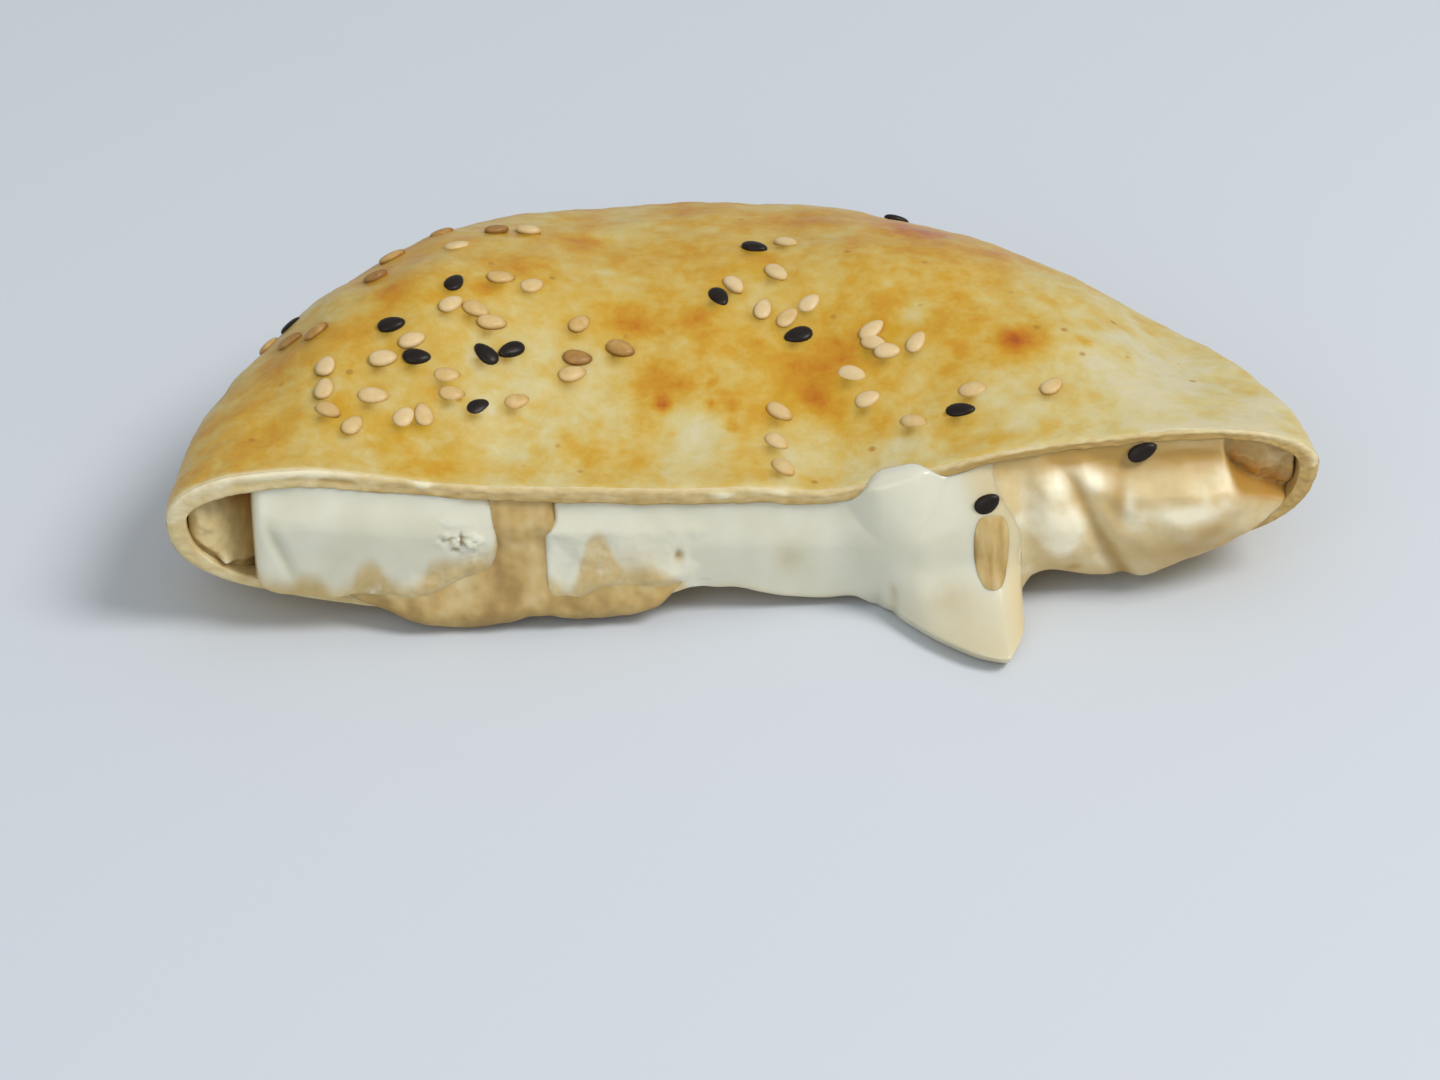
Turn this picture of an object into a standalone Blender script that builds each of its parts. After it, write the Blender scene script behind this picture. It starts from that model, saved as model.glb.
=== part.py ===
"""Half of a round cheese pie: a baked dough pocket with seeds on top, cut through its middle.

Metres, +Z up. The cut runs along X and faces -Y, so the melted cheese runs out towards -Y. The origin is
on the table under the middle of the half, and the flat of the base lies at z = 0. In the functions below,
x runs along the cut and d is the distance behind it.
"""

import math
import random

import bmesh
import bpy
from mathutils import Matrix, Vector, noise

# The half pie in plan
CUT_Y = -0.028
LEFT_TIP = 0.0594
RIGHT_TIP = 0.0604
DEPTH = 0.0610
PLAN_ROUNDNESS = 1.87

# The pocket's cross-section, rounder towards its flanks
TIP_ROUNDING_FROM = 0.050
TIP_ROUNDNESS = 2.2
ROOF_ROUNDNESS = 2.6
FLANK_ROUNDNESS = 2.15
FLANK_FROM, FLANK_FULL = 0.015, 0.050
ROOF_CREST_AT = 0.62
BASE_FLAT_TO = 0.76
ARCH_FADES_BY = 0.018
UNEVENNESS = 0.0003
UNEVENNESS_PITCH = 0.013
LEFT_WALL = 0.0020
RIGHT_WALL = 0.0021
BACK_WALL = 0.0026
BASE_WALL = 0.0013

# How the filling keeps clear of the crust, and of itself
GAP = 0.0003
CLEARANCE = 0.0008
BACK_CLEARANCE = 0.0024
LIP_START = -0.00045
LIP_STEP = 0.0001

# A fold of dough closes the hollow left of the cheese. It lies just behind the cut, and further back higher
# up and towards the cheese
HOLLOW_RIGHT = -0.0507
HOLLOW_GROOVE = 0.0005
HOLLOW_LEAN = 0.0009
HOLLOW_REACH = 0.0065
HOLLOW_SLANT = (0.8, 0.5)
HOLLOW_FROM, HOLLOW_FULL = 0.38, 1.25
HOLLOW_FOLD = 0.0025
HOLLOW_SUNK = 0.0005
HOLLOW_FINER = 1.5

# White cheese slab on the left
SLAB_LEFT, SLAB_RIGHT = -0.0504, -0.0261
SLAB_BOW = 0.0008
SLAB_SIDE_BOW = 0.0004

# Tan cream: a layer under the cheese, with a strand of full height beside the slab. It bulges out between
# the four places in CREAM_BULGES: where the bulge starts, is full, starts to fade, and ends
CREAM_LEFT, CREAM_RIGHT = -0.0490, -0.0050
STRAND_LEFT, STRAND_RIGHT = -0.0257, -0.0200
CREAM_DEPTH = 0.88
CREAM_LEAST = 0.0004
CREAM_BULGES = (-0.0435, -0.0315, -0.0095, -0.0035)
CREAM_EDGE_BULGE, CREAM_BULGE = 0.0016, 0.0027

# Melted cheese: a swelling on the right, and a lap over the crust's edge
MELT_RIGHT = 0.0285
MELT_HANGS_FROM, MELT_HANGS_FULL = -0.003, 0.003
MELT_CLEARS_CREAM = 0.0024
MELT_SKIN = 0.0004
MELT_FINE_FROM = 0.012
SWELL_FROM, SWELL_FULL = 0.009, 0.019
SWELL_FADES, SWELL_HALF = 0.025, 0.030
SWELL_DEPTH = 0.0035
SWELL_TOP = 0.0155
SWELL_LOWNESS = 0.8
LAP_X, LAP_HALF_WIDTH, LAP_HEIGHT = 0.0158, 0.0045, 0.0021

# Its tongue reaches the table. Its left side runs out slantwise, its nose is blunt, and a share of it runs
# on to the right and fades
TONGUE_LEFT, TONGUE_FULL = 0.0140, 0.0260
TONGUE_ROUNDS, TONGUE_RIGHT = 0.0262, 0.0289
TONGUE_ROUNDNESS = 2.8
TONGUE_SLANT = 1.6
TONGUE_RUNS_ON, TONGUE_FADE = 0.3, 0.0015
TONGUE_REACH = 0.0120
TONGUE_NOSE, TONGUE_TOP = 0.0019, 0.0080
TONGUE_SLIDE = 2.2
TONGUE_EDGE = 0.001

# Stretched cream on the right: lobes as (x, height, half width, half height, how far they stand out), and a
# crease from (x, height) to (x, height)
STRETCH_RIGHT = 0.0570
STRETCH_FADE = 0.010
STRETCH_SEAM, STRETCH_OWN = 0.0284, 0.0315
STRETCH_EDGE_BULGE, STRETCH_BULGE = 0.0009, 0.0007
STRETCH_LOBES = (
    (0.0326, 0.0096, 0.0046, 0.0055, 0.0014), (0.0456, 0.0110, 0.0065, 0.0046, 0.0019),
    (0.0435, 0.0060, 0.0045, 0.0040, 0.0009), (0.0505, 0.0122, 0.0040, 0.0030, 0.0006),
)
CREASE_TOP, CREASE_FOOT = (0.0336, 0.0154), (0.0402, 0.0026)
CREASE_WIDTH, CREASE_DEPTH = 0.0024, 0.0010
CREASE_FADES_FROM = 0.8
BAND_FROM, BAND_FULL = 0.0033, 0.0011
NOTCH_X, NOTCH_HALF_WIDTH, NOTCH_RISE = 0.0320, 0.005, 0.0009

# A tan drop of cream in the melted cheese: its centre and half size as (x, height), how far it stands out of
# the cheese, and how deep it goes. Points nearer its ends than POLE keep their place
DROP_CENTRE = (0.0259, 0.0077)
DROP_HALF = (0.0020, 0.0037)
DROP_STANDS, DROP_SUNK = 0.00045, 0.0013
DROP_BLUNTNESS = 3.2
DROP_GAP = 0.0005
POLE = 0.999

# Sesame seeds: length, width and thickness
SEED_SIZE = (0.0032, 0.0019, 0.0010)
SEED_TAPER = 0.56
SEED_SUNK = 0.36
SEED_SPREAD = 0.08

# Seeds on the roof, as (x, d, the way the point lies in degrees)
BLACK_SEEDS = (
    (-0.0286, 0.0269, 63), (-0.0355, 0.0209, 9), (-0.0330, 0.0164, -5), (-0.0463, 0.0310, 170),
    (-0.0257, 0.0176, 134), (-0.0230, 0.0185, -150), (-0.0269, 0.0111, 36), (0.0046, 0.0370, -27),
    (-0.0002, 0.0275, -69), (0.0079, 0.0220, -164), (0.0236, 0.0080, -12), (0.0223, 0.0500, 0),
)
WHITE_SEEDS = (
    (-0.0295, 0.0440, 30), (-0.0280, 0.0365, 25), (-0.0235, 0.0420, 20), (-0.0200, 0.0420, -20),
    (-0.0351, 0.0390, 20), (-0.0370, 0.0325, 15), (-0.0236, 0.0286, 3), (-0.0203, 0.0280, 36),
    (-0.0291, 0.0235, 39), (-0.0265, 0.0231, -25), (-0.0249, 0.0216, -1), (-0.0435, 0.0229, 20),
    (-0.0464, 0.0250, -10), (-0.0488, 0.0302, 50), (-0.0425, 0.0158, 75), (-0.0428, 0.0125, 76),
    (-0.0424, 0.0094, -37), (-0.0400, 0.0075, 57), (-0.0365, 0.0162, 6), (-0.0334, 0.0184, 23),
    (-0.0299, 0.0144, 4), (-0.0295, 0.0123, -3), (-0.0377, 0.0115, -5), (-0.0346, 0.0090, 59),
    (-0.0326, 0.0094, 102), (-0.0228, 0.0123, 24), (0.0082, 0.0381, -39), (0.0065, 0.0314, -59),
    (0.0016, 0.0293, -62), (0.0044, 0.0256, 75), (0.0070, 0.0244, 53), (0.0095, 0.0262, 44),
    (-0.0160, 0.0187, -2), (-0.0167, 0.0165, 18), (-0.0113, 0.0204, -24), (0.0049, 0.0118, -43),
    (0.0042, 0.0078, -45), (0.0045, 0.0038, -56), (-0.0155, 0.0234, 49), (0.0130, 0.0158, -29),
    (0.0143, 0.0122, 19), (0.0187, 0.0080, -28), (0.0157, 0.0209, 40), (0.0157, 0.0192, -30),
    (0.0170, 0.0178, -7), (0.0202, 0.0184, 57), (0.0252, 0.0105, -2), (0.0334, 0.0095, 41),
)
# One black seed on the melted cheese and one on the stretched cream: (x, height), the way it faces, and the
# way its point lies
MELT_SEED = (0.0251, 0.0136), (0, -1, 0.3), (0.85, 0, 0.5)
STRETCH_SEED = (0.0415, 0.0164), (0, -1, 0.4), (0.9, 0, 0.4)

# Mesh fineness. Rows bunch towards the rim, and the melted cheese's layers towards the table
SHELL_COLUMNS = 54
SHELL_ROWS = 24
ROWS_BUNCHED = 1.5
LAYERS_LOW = 0.9
SHARP_ANGLE = math.radians(40)


def curve_through(*points):
    """A smooth curve through a few (x, height) points that makes no waves between them."""
    xs = [p[0] for p in points]
    ys = [p[1] for p in points]
    steps = [(ys[i + 1] - ys[i]) / (xs[i + 1] - xs[i]) for i in range(len(xs) - 1)]
    slopes = [steps[0]]
    for before, after in zip(steps, steps[1:]):
        slopes.append(2 * before * after / (before + after) if before * after > 0 else 0.0)
    slopes.append(steps[-1])

    def height(x):
        x = min(max(x, xs[0]), xs[-1])
        i = max(k for k in range(len(xs) - 1) if x >= xs[k])
        span = xs[i + 1] - xs[i]
        t = (x - xs[i]) / span
        return (
            (1 + 2 * t) * (1 - t) ** 2 * ys[i]
            + t * (1 - t) ** 2 * span * slopes[i]
            + t * t * (3 - 2 * t) * ys[i + 1]
            + t * t * (t - 1) * span * slopes[i + 1]
        )

    return height


# Heights along the cut: the crust's upper edge, its underside, the fold at the rim, and how much higher
# the roof stands behind the cut
top_edge = curve_through(
    (-0.056, 0.0190), (-0.046, 0.0193), (-0.036, 0.0179), (-0.025, 0.0162), (-0.012, 0.0153), (0.000, 0.0147),
    (0.008, 0.0138), (0.017, 0.0155), (0.027, 0.0176), (0.038, 0.0188), (0.048, 0.0191), (0.057, 0.0189),
)
under_edge = curve_through(
    (-0.056, 0.0062), (-0.051, 0.0052), (-0.046, 0.0037), (-0.0405, 0.0024), (-0.0365, 0.0016),
    (-0.033, 0.0008), (-0.029, 0.0), (-0.025, 0.0006), (-0.022, 0.0015), (-0.0196, 0.0013), (-0.017, 0.0006),
    (-0.013, 0.0008), (-0.010, 0.0017), (-0.0075, 0.0028), (-0.0048, 0.0033), (-0.0014, 0.0032),
    (0.002, 0.0023), (0.0053, 0.0015), (0.0087, 0.0012), (0.0114, 0.0014), (0.014, 0.0002), (0.016, 0.0),
    (0.0274, 0.0), (0.0288, 0.0009), (0.0303, 0.0026), (0.033, 0.0029), (0.0375, 0.0026), (0.041, 0.0023),
    (0.046, 0.0042), (0.052, 0.0056), (0.057, 0.0063),
)
rim_height = curve_through(
    (-0.0594, 0.0136), (-0.045, 0.0135), (-0.010, 0.0121), (0.030, 0.0093), (0.0604, 0.0144),
)
roof_rise = curve_through(
    (-0.059, -0.0010), (-0.050, 0.0010), (-0.040, 0.0069), (-0.028, 0.0106), (-0.010, 0.0087),
    (0.010, 0.0101), (0.025, 0.0073), (0.040, 0.0025), (0.050, -0.0027), (0.060, 0.0),
)
# Thickness of the roof
roof_wall = curve_through(
    (-0.056, 0.0023), (-0.044, 0.0021), (-0.031, 0.0016), (-0.020, 0.0018), (-0.005, 0.0018),
    (0.008, 0.0016), (0.020, 0.0012), (0.030, 0.0010), (0.057, 0.0012),
)
# Top of the tan cream under the white cheese
cream_top = curve_through(
    (-0.051, 0.0074), (-0.046, 0.0056), (-0.036, 0.0046), (-0.030, 0.0060), (-0.026, 0.0068),
    (-0.019, 0.0072), (-0.013, 0.0060), (-0.009, 0.0052), (-0.005, 0.0048),
)


def blend(low, high, share):
    return low + (high - low) * share


def ramp(x, start, end):
    """Rises smoothly from 0 at start to 1 at end, which may lie to the left of start."""
    share = share_of(x, start, end)
    return share * share * (3 - 2 * share)


def share_of(x, start, end):
    """0 before start and 1 past end, rising evenly between them."""
    return min(max((x - start) / (end - start), 0.0), 1.0)


def plateau(x, start, full, fades, end):
    return ramp(x, start, full) * ramp(x, end, fades)


def bump(x, middle, half_width):
    """1 at middle, falling smoothly to 0 at half_width either side."""
    return ramp(abs(x - middle), half_width, 0.0)


def rounded(share, roundness):
    """Height of a quarter oval at this share of its width."""
    return max(0.0, 1 - min(share, 1.0) ** roundness) ** (1 / roundness)


def tip(x, inner):
    """Distance of the tip on the side of x. inner is 0 on the pocket's outside and 1 on its inside."""
    return LEFT_TIP - inner * LEFT_WALL if x < 0 else RIGHT_TIP - inner * RIGHT_WALL


def reach(x, inner):
    """How far back the pocket goes at x."""
    return (DEPTH - inner * BACK_WALL) * rounded(abs(x) / tip(x, inner), PLAN_ROUNDNESS)


def tip_share(x, inner):
    """1 along the pocket, falling to 0 at its two tips."""
    past = (abs(x) - TIP_ROUNDING_FROM) / (tip(x, inner) - TIP_ROUNDING_FROM)
    return rounded(max(0.0, past), TIP_ROUNDNESS)


def depth_share(x, d, inner):
    return d / max(reach(x, inner), UNEVENNESS)


def roof(x, d, inner):
    """Height of the upper crust."""
    share = depth_share(x, d, inner)
    crest = top_edge(x) + roof_rise(x) * ramp(share, 0.0, ROOF_CREST_AT) - inner * roof_wall(x)
    crest += UNEVENNESS * noise.noise(Vector((x, d, 0)) / UNEVENNESS_PITCH)
    roundness = blend(ROOF_ROUNDNESS, FLANK_ROUNDNESS, ramp(abs(x), FLANK_FROM, FLANK_FULL))
    rim = rim_height(x)
    return rim + (crest - rim) * rounded(share, roundness) * tip_share(x, inner)


def base(x, d, inner):
    """Height of the lower crust: flat, arched a little at the cut, and curled up to the rim."""
    share = depth_share(x, d, inner)
    curl = rounded(max(0.0, (share - BASE_FLAT_TO) / (1 - BASE_FLAT_TO)), 2)
    level = under_edge(x) * ramp(d, ARCH_FADES_BY, 0.0) + inner * BASE_WALL
    rim = rim_height(x)
    return rim - (rim - level) * curl * tip_share(x, inner)


def pocket_point(along, around, inner):
    """along runs from -1 at the left tip to 1 at the right, around from -1 at the upper edge to 1 below."""
    left, right = tip(-1, inner), tip(1, inner)
    x = (right - left) / 2 + (right + left) / 2 * math.sin(along * math.pi / 2)
    from_rim = 1 - (1 - abs(around)) ** ROWS_BUNCHED
    d = reach(x, inner) * max(0.0, math.cos(from_rim * math.pi / 2)) ** (2 / ROOF_ROUNDNESS)
    height = roof(x, d, inner) if around < 0 else base(x, d, inner)
    return Vector((x, CUT_Y + d, height))


def paint(name, colour, roughness):
    material = bpy.data.materials.new(name)
    material.use_nodes = True
    shader = material.node_tree.nodes["Principled BSDF"]
    shader.inputs["Base Color"].default_value = (*colour, 1.0)
    shader.inputs["Roughness"].default_value = roughness
    shader.inputs["Metallic"].default_value = 0.0
    return material


def as_object(name, bm, material):
    bmesh.ops.recalc_face_normals(bm, faces=bm.faces)
    mesh = bpy.data.meshes.new(name)
    bm.to_mesh(mesh)
    bm.free()
    mesh.materials.append(material)
    mesh.shade_smooth()
    mesh.set_sharp_from_angle(angle=SHARP_ANGLE)
    made = bpy.data.objects.new(name, mesh)
    bpy.context.scene.collection.objects.link(made)
    return made


def apply_boolean(body, operation, others):
    """Joins the others to body, or takes them out of it, with one Boolean, and removes them."""
    group = bpy.data.collections.new(body.name + "_others")
    bpy.context.scene.collection.children.link(group)
    for other in others:
        bpy.context.scene.collection.objects.unlink(other)
        group.objects.link(other)
    joint = body.modifiers.new("joint", "BOOLEAN")
    joint.operation = operation
    joint.solver = "EXACT"
    joint.operand_type = "COLLECTION"
    joint.collection = group
    bpy.context.view_layer.update()
    result = bpy.data.meshes.new_from_object(body.evaluated_get(bpy.context.evaluated_depsgraph_get()))
    body.modifiers.clear()
    body.data = result
    for other in others:
        bpy.data.objects.remove(other)
    bpy.data.collections.remove(group)


# Crust
def make_crust(material):
    """The wall of the pocket, swept from tip to tip as one closed loop: outside, inside, outside again."""
    turns = SHELL_ROWS + 1
    bm = bmesh.new()
    bmesh.ops.create_grid(bm, x_segments=SHELL_COLUMNS, y_segments=2 * turns, size=1.0)
    for vert in bm.verts:
        row = round((vert.co.y + 1) * turns) % (2 * turns)
        inner = int(row >= turns)
        around = 2 * (row - inner * turns) / SHELL_ROWS - 1
        vert.co = pocket_point(vert.co.x, -around if inner else around, inner)
    bmesh.ops.remove_doubles(bm, verts=bm.verts, dist=1e-6)
    return as_object("crust", bm, material)


def make_fold(material):
    """The fold of dough in the hollow, its edges sunk in the pocket's wall, its columns closer at the tip."""
    columns, rows, layers = 8, 1, 6
    left = -tip(-1, 1) - HOLLOW_SUNK / 2

    def place(i, j, k):
        across, up = (i / columns) ** HOLLOW_FINER, k / layers
        x = blend(left, HOLLOW_RIGHT, across)
        slant = HOLLOW_SLANT[0] * across + HOLLOW_SLANT[1] * up
        d = HOLLOW_GROOVE + HOLLOW_LEAN * across + HOLLOW_REACH * ramp(slant, HOLLOW_FROM, HOLLOW_FULL)
        d += j * HOLLOW_FOLD
        return Vector((x, CUT_Y + d, blend(base(x, d, 1) - HOLLOW_SUNK, roof(x, d, 1) + HOLLOW_SUNK, up)))

    return block("dough_fold", (columns, rows, layers), place, material)


# Seeds
def make_seed(place, facing, pointing, material, size=1.0):
    """A sesame seed lying on its flat at place, blunt at one end, and pointed at the other."""
    bm = bmesh.new()
    bmesh.ops.create_uvsphere(bm, u_segments=6, v_segments=4, radius=0.5)
    length, width, thickness = [part * size for part in SEED_SIZE]
    along = (pointing - facing * pointing.dot(facing)).normalized()
    turned = Matrix((along, facing.cross(along), facing)).transposed()
    middle = place + facing * thickness * (0.5 - SEED_SUNK)
    for vert in bm.verts:
        x, y, z = vert.co
        vert.co = middle + turned @ Vector((x * length, y * width * (1 - SEED_TAPER * x), z * thickness))
    return as_object("seed", bm, material)


def on_roof(x, d):
    """The point of the roof at (x, d), and which way it faces."""
    step = UNEVENNESS
    height = roof(x, d, 0)
    slope_x = (roof(x + step, d, 0) - height) / step
    slope_d = (roof(x, d + step, 0) - height) / step
    return Vector((x, CUT_Y + d, height)), Vector((-slope_x, -slope_d, 1)).normalized()


def scatter_seeds(material):
    rng = random.Random(7)
    seeds = []
    for x, d, degrees in BLACK_SEEDS + WHITE_SEEDS:
        pointing = Vector((math.cos(math.radians(degrees)), math.sin(math.radians(degrees)), 0))
        size = rng.uniform(1 - SEED_SPREAD, 1 + SEED_SPREAD)
        seeds.append(make_seed(*on_roof(x, d), pointing, material, size))
    return seeds


# Filling
def block(name, counts, place, material):
    """A box of counts cells, its corner points (i, j, k) moved by place. i runs along the cut, j back."""
    bm = bmesh.new()
    bmesh.ops.create_cube(bm, size=1.0, matrix=Matrix.Translation((0.5, 0.5, 0.5)))
    for axis, count in enumerate(counts):
        uncut = [e for e in bm.edges if abs(e.verts[0].co[axis] - e.verts[1].co[axis]) > 0.5]
        bmesh.ops.subdivide_edges(bm, edges=uncut, cuts=count - 1, use_grid_fill=True)
    for vert in bm.verts:
        vert.co = place(*[round(part * count) for part, count in zip(vert.co, counts)])
    return as_object(name, bm, material)


def ceiling(x, d):
    """Top of the filling, just under the roof's inside."""
    return roof(x, max(d, 0.0) + CLEARANCE, 1) - CLEARANCE


def ground(x, d):
    """Bottom of the filling, just above the base's inside."""
    return base(x, max(d, 0.0) + CLEARANCE, 1) + CLEARANCE


def cream_high(x, d):
    return max(cream_top(x), ground(x, d) + CREAM_LEAST)


def over_cream(x, d):
    return cream_high(x, d) + 2 * GAP


def row_depth(x, j, rows, front, lip_rows=0, depth_shares=None):
    """Distance behind the cut of row j, from front on. The first lip_rows hang in front of the crust."""
    back = depth_shares * reach(x, 1) if depth_shares else reach(x, 1) - BACK_CLEARANCE
    if not lip_rows:
        return blend(front, back, (1 - math.cos(math.pi * j / rows)) / 2)
    if j <= lip_rows:
        return blend(front, LIP_START, j / lip_rows)
    share = (j - lip_rows - 1) / (rows - lip_rows - 1)
    return blend(LIP_START + LIP_STEP, back, (1 - math.cos(math.pi * share)) / 2)


def make_slab(material):
    columns, rows, layers = 9, 7, 5

    def place(i, j, k):
        x = blend(SLAB_LEFT, SLAB_RIGHT, i / columns)
        bow = SLAB_BOW * math.sin(math.pi * k / layers) + SLAB_SIDE_BOW * math.sin(math.pi * i / columns)
        d = row_depth(x, j, rows, -bow)
        return Vector((x, CUT_Y + d, blend(over_cream(x, d), ceiling(x, d), k / layers)))

    return block("cheese_slab", (columns, rows, layers), place, material)


def make_cream(material):
    left = [blend(CREAM_LEFT, STRAND_LEFT - GAP / 2, k / 8) for k in range(9)]
    strand = [blend(STRAND_LEFT, STRAND_RIGHT, k / 3) for k in range(4)]
    right = [blend(STRAND_RIGHT + GAP / 2, CREAM_RIGHT, k / 6) for k in range(7)]
    stations = left + strand + right
    rows, layers, lip_rows = 9, 3, 2

    def place(i, j, k):
        x = stations[i]
        hang = plateau(x, *CREAM_BULGES)
        bulge = blend(CREAM_EDGE_BULGE, CREAM_BULGE, math.sin(math.pi * k / layers))
        front = LIP_START - LIP_STEP - hang * bulge
        if x in strand:
            d = row_depth(x, j, rows, front, lip_rows)
            high = ceiling(x, d)
        else:
            d = row_depth(x, j, rows, front, lip_rows, CREAM_DEPTH)
            high = cream_high(x, d)
        low = blend(ground(x, 0), under_edge(x), hang) if j <= lip_rows else ground(x, d)
        return Vector((x, CUT_Y + d, blend(low, high, k / layers)))

    return block("cream_filling", (len(stations) - 1, rows, layers), place, material)


def tongue_share(x):
    """How much of the tongue's reach there is at x."""
    rising = 1 - (1 - share_of(x, TONGUE_LEFT, TONGUE_FULL)) ** TONGUE_SLANT
    past = max(0.0, x - TONGUE_ROUNDS)
    side = rounded(past / (TONGUE_RIGHT - TONGUE_ROUNDS), TONGUE_ROUNDNESS)
    return rising * blend(side, math.exp(-past / TONGUE_FADE), TONGUE_RUNS_ON)


def melt_front(x, height):
    """How far the melted cheese stands out of the cut at (x, height)."""
    belly = SWELL_DEPTH * math.sin(math.pi * share_of(height, 0.0, SWELL_TOP) ** SWELL_LOWNESS)
    belly *= ramp(x, SWELL_FROM, SWELL_FULL) * blend(1.0, 0.5, ramp(x, SWELL_FADES, SWELL_HALF))
    out = TONGUE_REACH * tongue_share(x)
    slide = (1 - share_of(height, TONGUE_NOSE, TONGUE_TOP)) ** TONGUE_SLIDE
    hem = TONGUE_EDGE * (1 - math.sqrt(1 - (1 - share_of(height, 0.0, TONGUE_EDGE)) ** 2))
    return LIP_START - MELT_SKIN - belly - out * slide + hem * min(1.0, out / TONGUE_EDGE)


def make_melt(material):
    left = [blend(STRAND_RIGHT + GAP, MELT_FINE_FROM, k / 16) for k in range(16)]
    stations = left + [blend(MELT_FINE_FROM, MELT_RIGHT, k / 18) for k in range(19)]
    rows, layers, lip_rows = 11, 10, 4

    def place(i, j, k):
        x = stations[i]
        inside = over_cream if x < CREAM_RIGHT + MELT_CLEARS_CREAM else ground
        low = blend(inside(x, 0), under_edge(x), ramp(x, MELT_HANGS_FROM, MELT_HANGS_FULL))
        high = ceiling(x, 0) + LAP_HEIGHT * bump(x, LAP_X, LAP_HALF_WIDTH)
        height = blend(low, high, (k / layers) ** (1 + LAYERS_LOW * tongue_share(x)))
        d = row_depth(x, j, rows, melt_front(x, height), lip_rows)
        if j > lip_rows:
            height = blend(inside(x, d), ceiling(x, d), k / layers)
        return Vector((x, CUT_Y + d, height))

    return block("melted_cheese", (len(stations) - 1, rows, layers), place, material)


def stretch_hang(x):
    return ramp(x, STRETCH_RIGHT, STRETCH_RIGHT - STRETCH_FADE)


def stretch_low(x):
    notched = under_edge(x) + NOTCH_RISE * bump(x, NOTCH_X, NOTCH_HALF_WIDTH)
    return blend(ground(x, 0), notched, stretch_hang(x))


def stretch_front(x, height):
    """How far the stretched cream stands out of the cut at (x, height)."""
    top = ceiling(x, 0)
    up = share_of(height, under_edge(x), top)
    lobes = sum(
        out * math.exp(-((x - middle) / wide) ** 2 - ((height - centre) / tall) ** 2)
        for middle, centre, wide, tall, out in STRETCH_LOBES
    )
    bulge = (STRETCH_EDGE_BULGE + STRETCH_BULGE * math.sin(math.pi * up) + lobes) * stretch_hang(x)
    (top_x, crease_top), (foot_x, crease_foot) = CREASE_TOP, CREASE_FOOT
    crease_x = blend(foot_x, top_x, (height - crease_foot) / (crease_top - crease_foot))
    crease = bump(x, crease_x, CREASE_WIDTH) * ramp(up, 1.0, CREASE_FADES_FROM)
    bulge = max(0.0, bulge - CREASE_DEPTH * crease) * ramp(top - height, BAND_FULL, BAND_FROM)
    own = LIP_START - LIP_STEP - bulge
    return blend(melt_front(x, height), own, ramp(x, STRETCH_SEAM, STRETCH_OWN))


def make_stretch(material):
    columns, rows, layers, lip_rows = 20, 8, 8, 2

    def place(i, j, k):
        x = blend(MELT_RIGHT + GAP, STRETCH_RIGHT, i / columns)
        height = blend(stretch_low(x), ceiling(x, 0), k / layers)
        d = row_depth(x, j, rows, stretch_front(x, height), lip_rows)
        if j > lip_rows:
            height = blend(ground(x, d), ceiling(x, d), k / layers)
        return Vector((x, CUT_Y + d, height))

    return block("stretched_cream", (columns, rows, layers), place, material)


def make_drop(name, material, grow=0.0):
    """The tan drop, a blister that follows the melted cheese."""
    bm = bmesh.new()
    bmesh.ops.create_uvsphere(bm, u_segments=12, v_segments=10, radius=1.0)
    middle, centre = DROP_CENTRE
    half_width, half_height = [part + grow for part in DROP_HALF]
    for vert in bm.verts:
        across, out, up = vert.co
        if abs(up) < POLE:
            across *= rounded(abs(up), DROP_BLUNTNESS) / math.sqrt(1 - up * up)
        x, height = middle + across * half_width, centre + up * half_height
        depth = out * ((DROP_STANDS if out < 0 else DROP_SUNK) + grow)
        vert.co = Vector((x, CUT_Y + melt_front(x, height) + depth, height))
    return as_object(name, bm, material)


def seed_on_filling(seed, front, material):
    (x, height), facing, pointing = seed
    place = Vector((x, CUT_Y + front(x, height), height))
    return make_seed(place, Vector(facing).normalized(), Vector(pointing), material)


def main():
    for old in list(bpy.data.objects):
        bpy.data.objects.remove(old)
    dough = paint("baked_dough", (0.72, 0.50, 0.20), 0.45)
    white = paint("white_cheese", (0.78, 0.78, 0.68), 0.35)
    tan = paint("tan_cream", (0.66, 0.50, 0.33), 0.35)
    blush = paint("glossy_cream", (0.76, 0.65, 0.50), 0.25)

    crust = make_crust(dough)
    apply_boolean(crust, "UNION", [make_fold(dough), *scatter_seeds(dough)])
    make_slab(white)
    make_cream(tan)
    melt = make_melt(white)
    apply_boolean(melt, "DIFFERENCE", [make_drop("drop_pocket", tan, grow=DROP_GAP)])
    apply_boolean(melt, "UNION", [seed_on_filling(MELT_SEED, melt_front, white)])
    make_drop("cream_drop", tan)
    stretch = make_stretch(blush)
    apply_boolean(stretch, "UNION", [seed_on_filling(STRETCH_SEED, stretch_front, blush)])


main()
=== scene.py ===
import math
import random

import bmesh
import bpy
from mathutils import Matrix, Vector, noise


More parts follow.
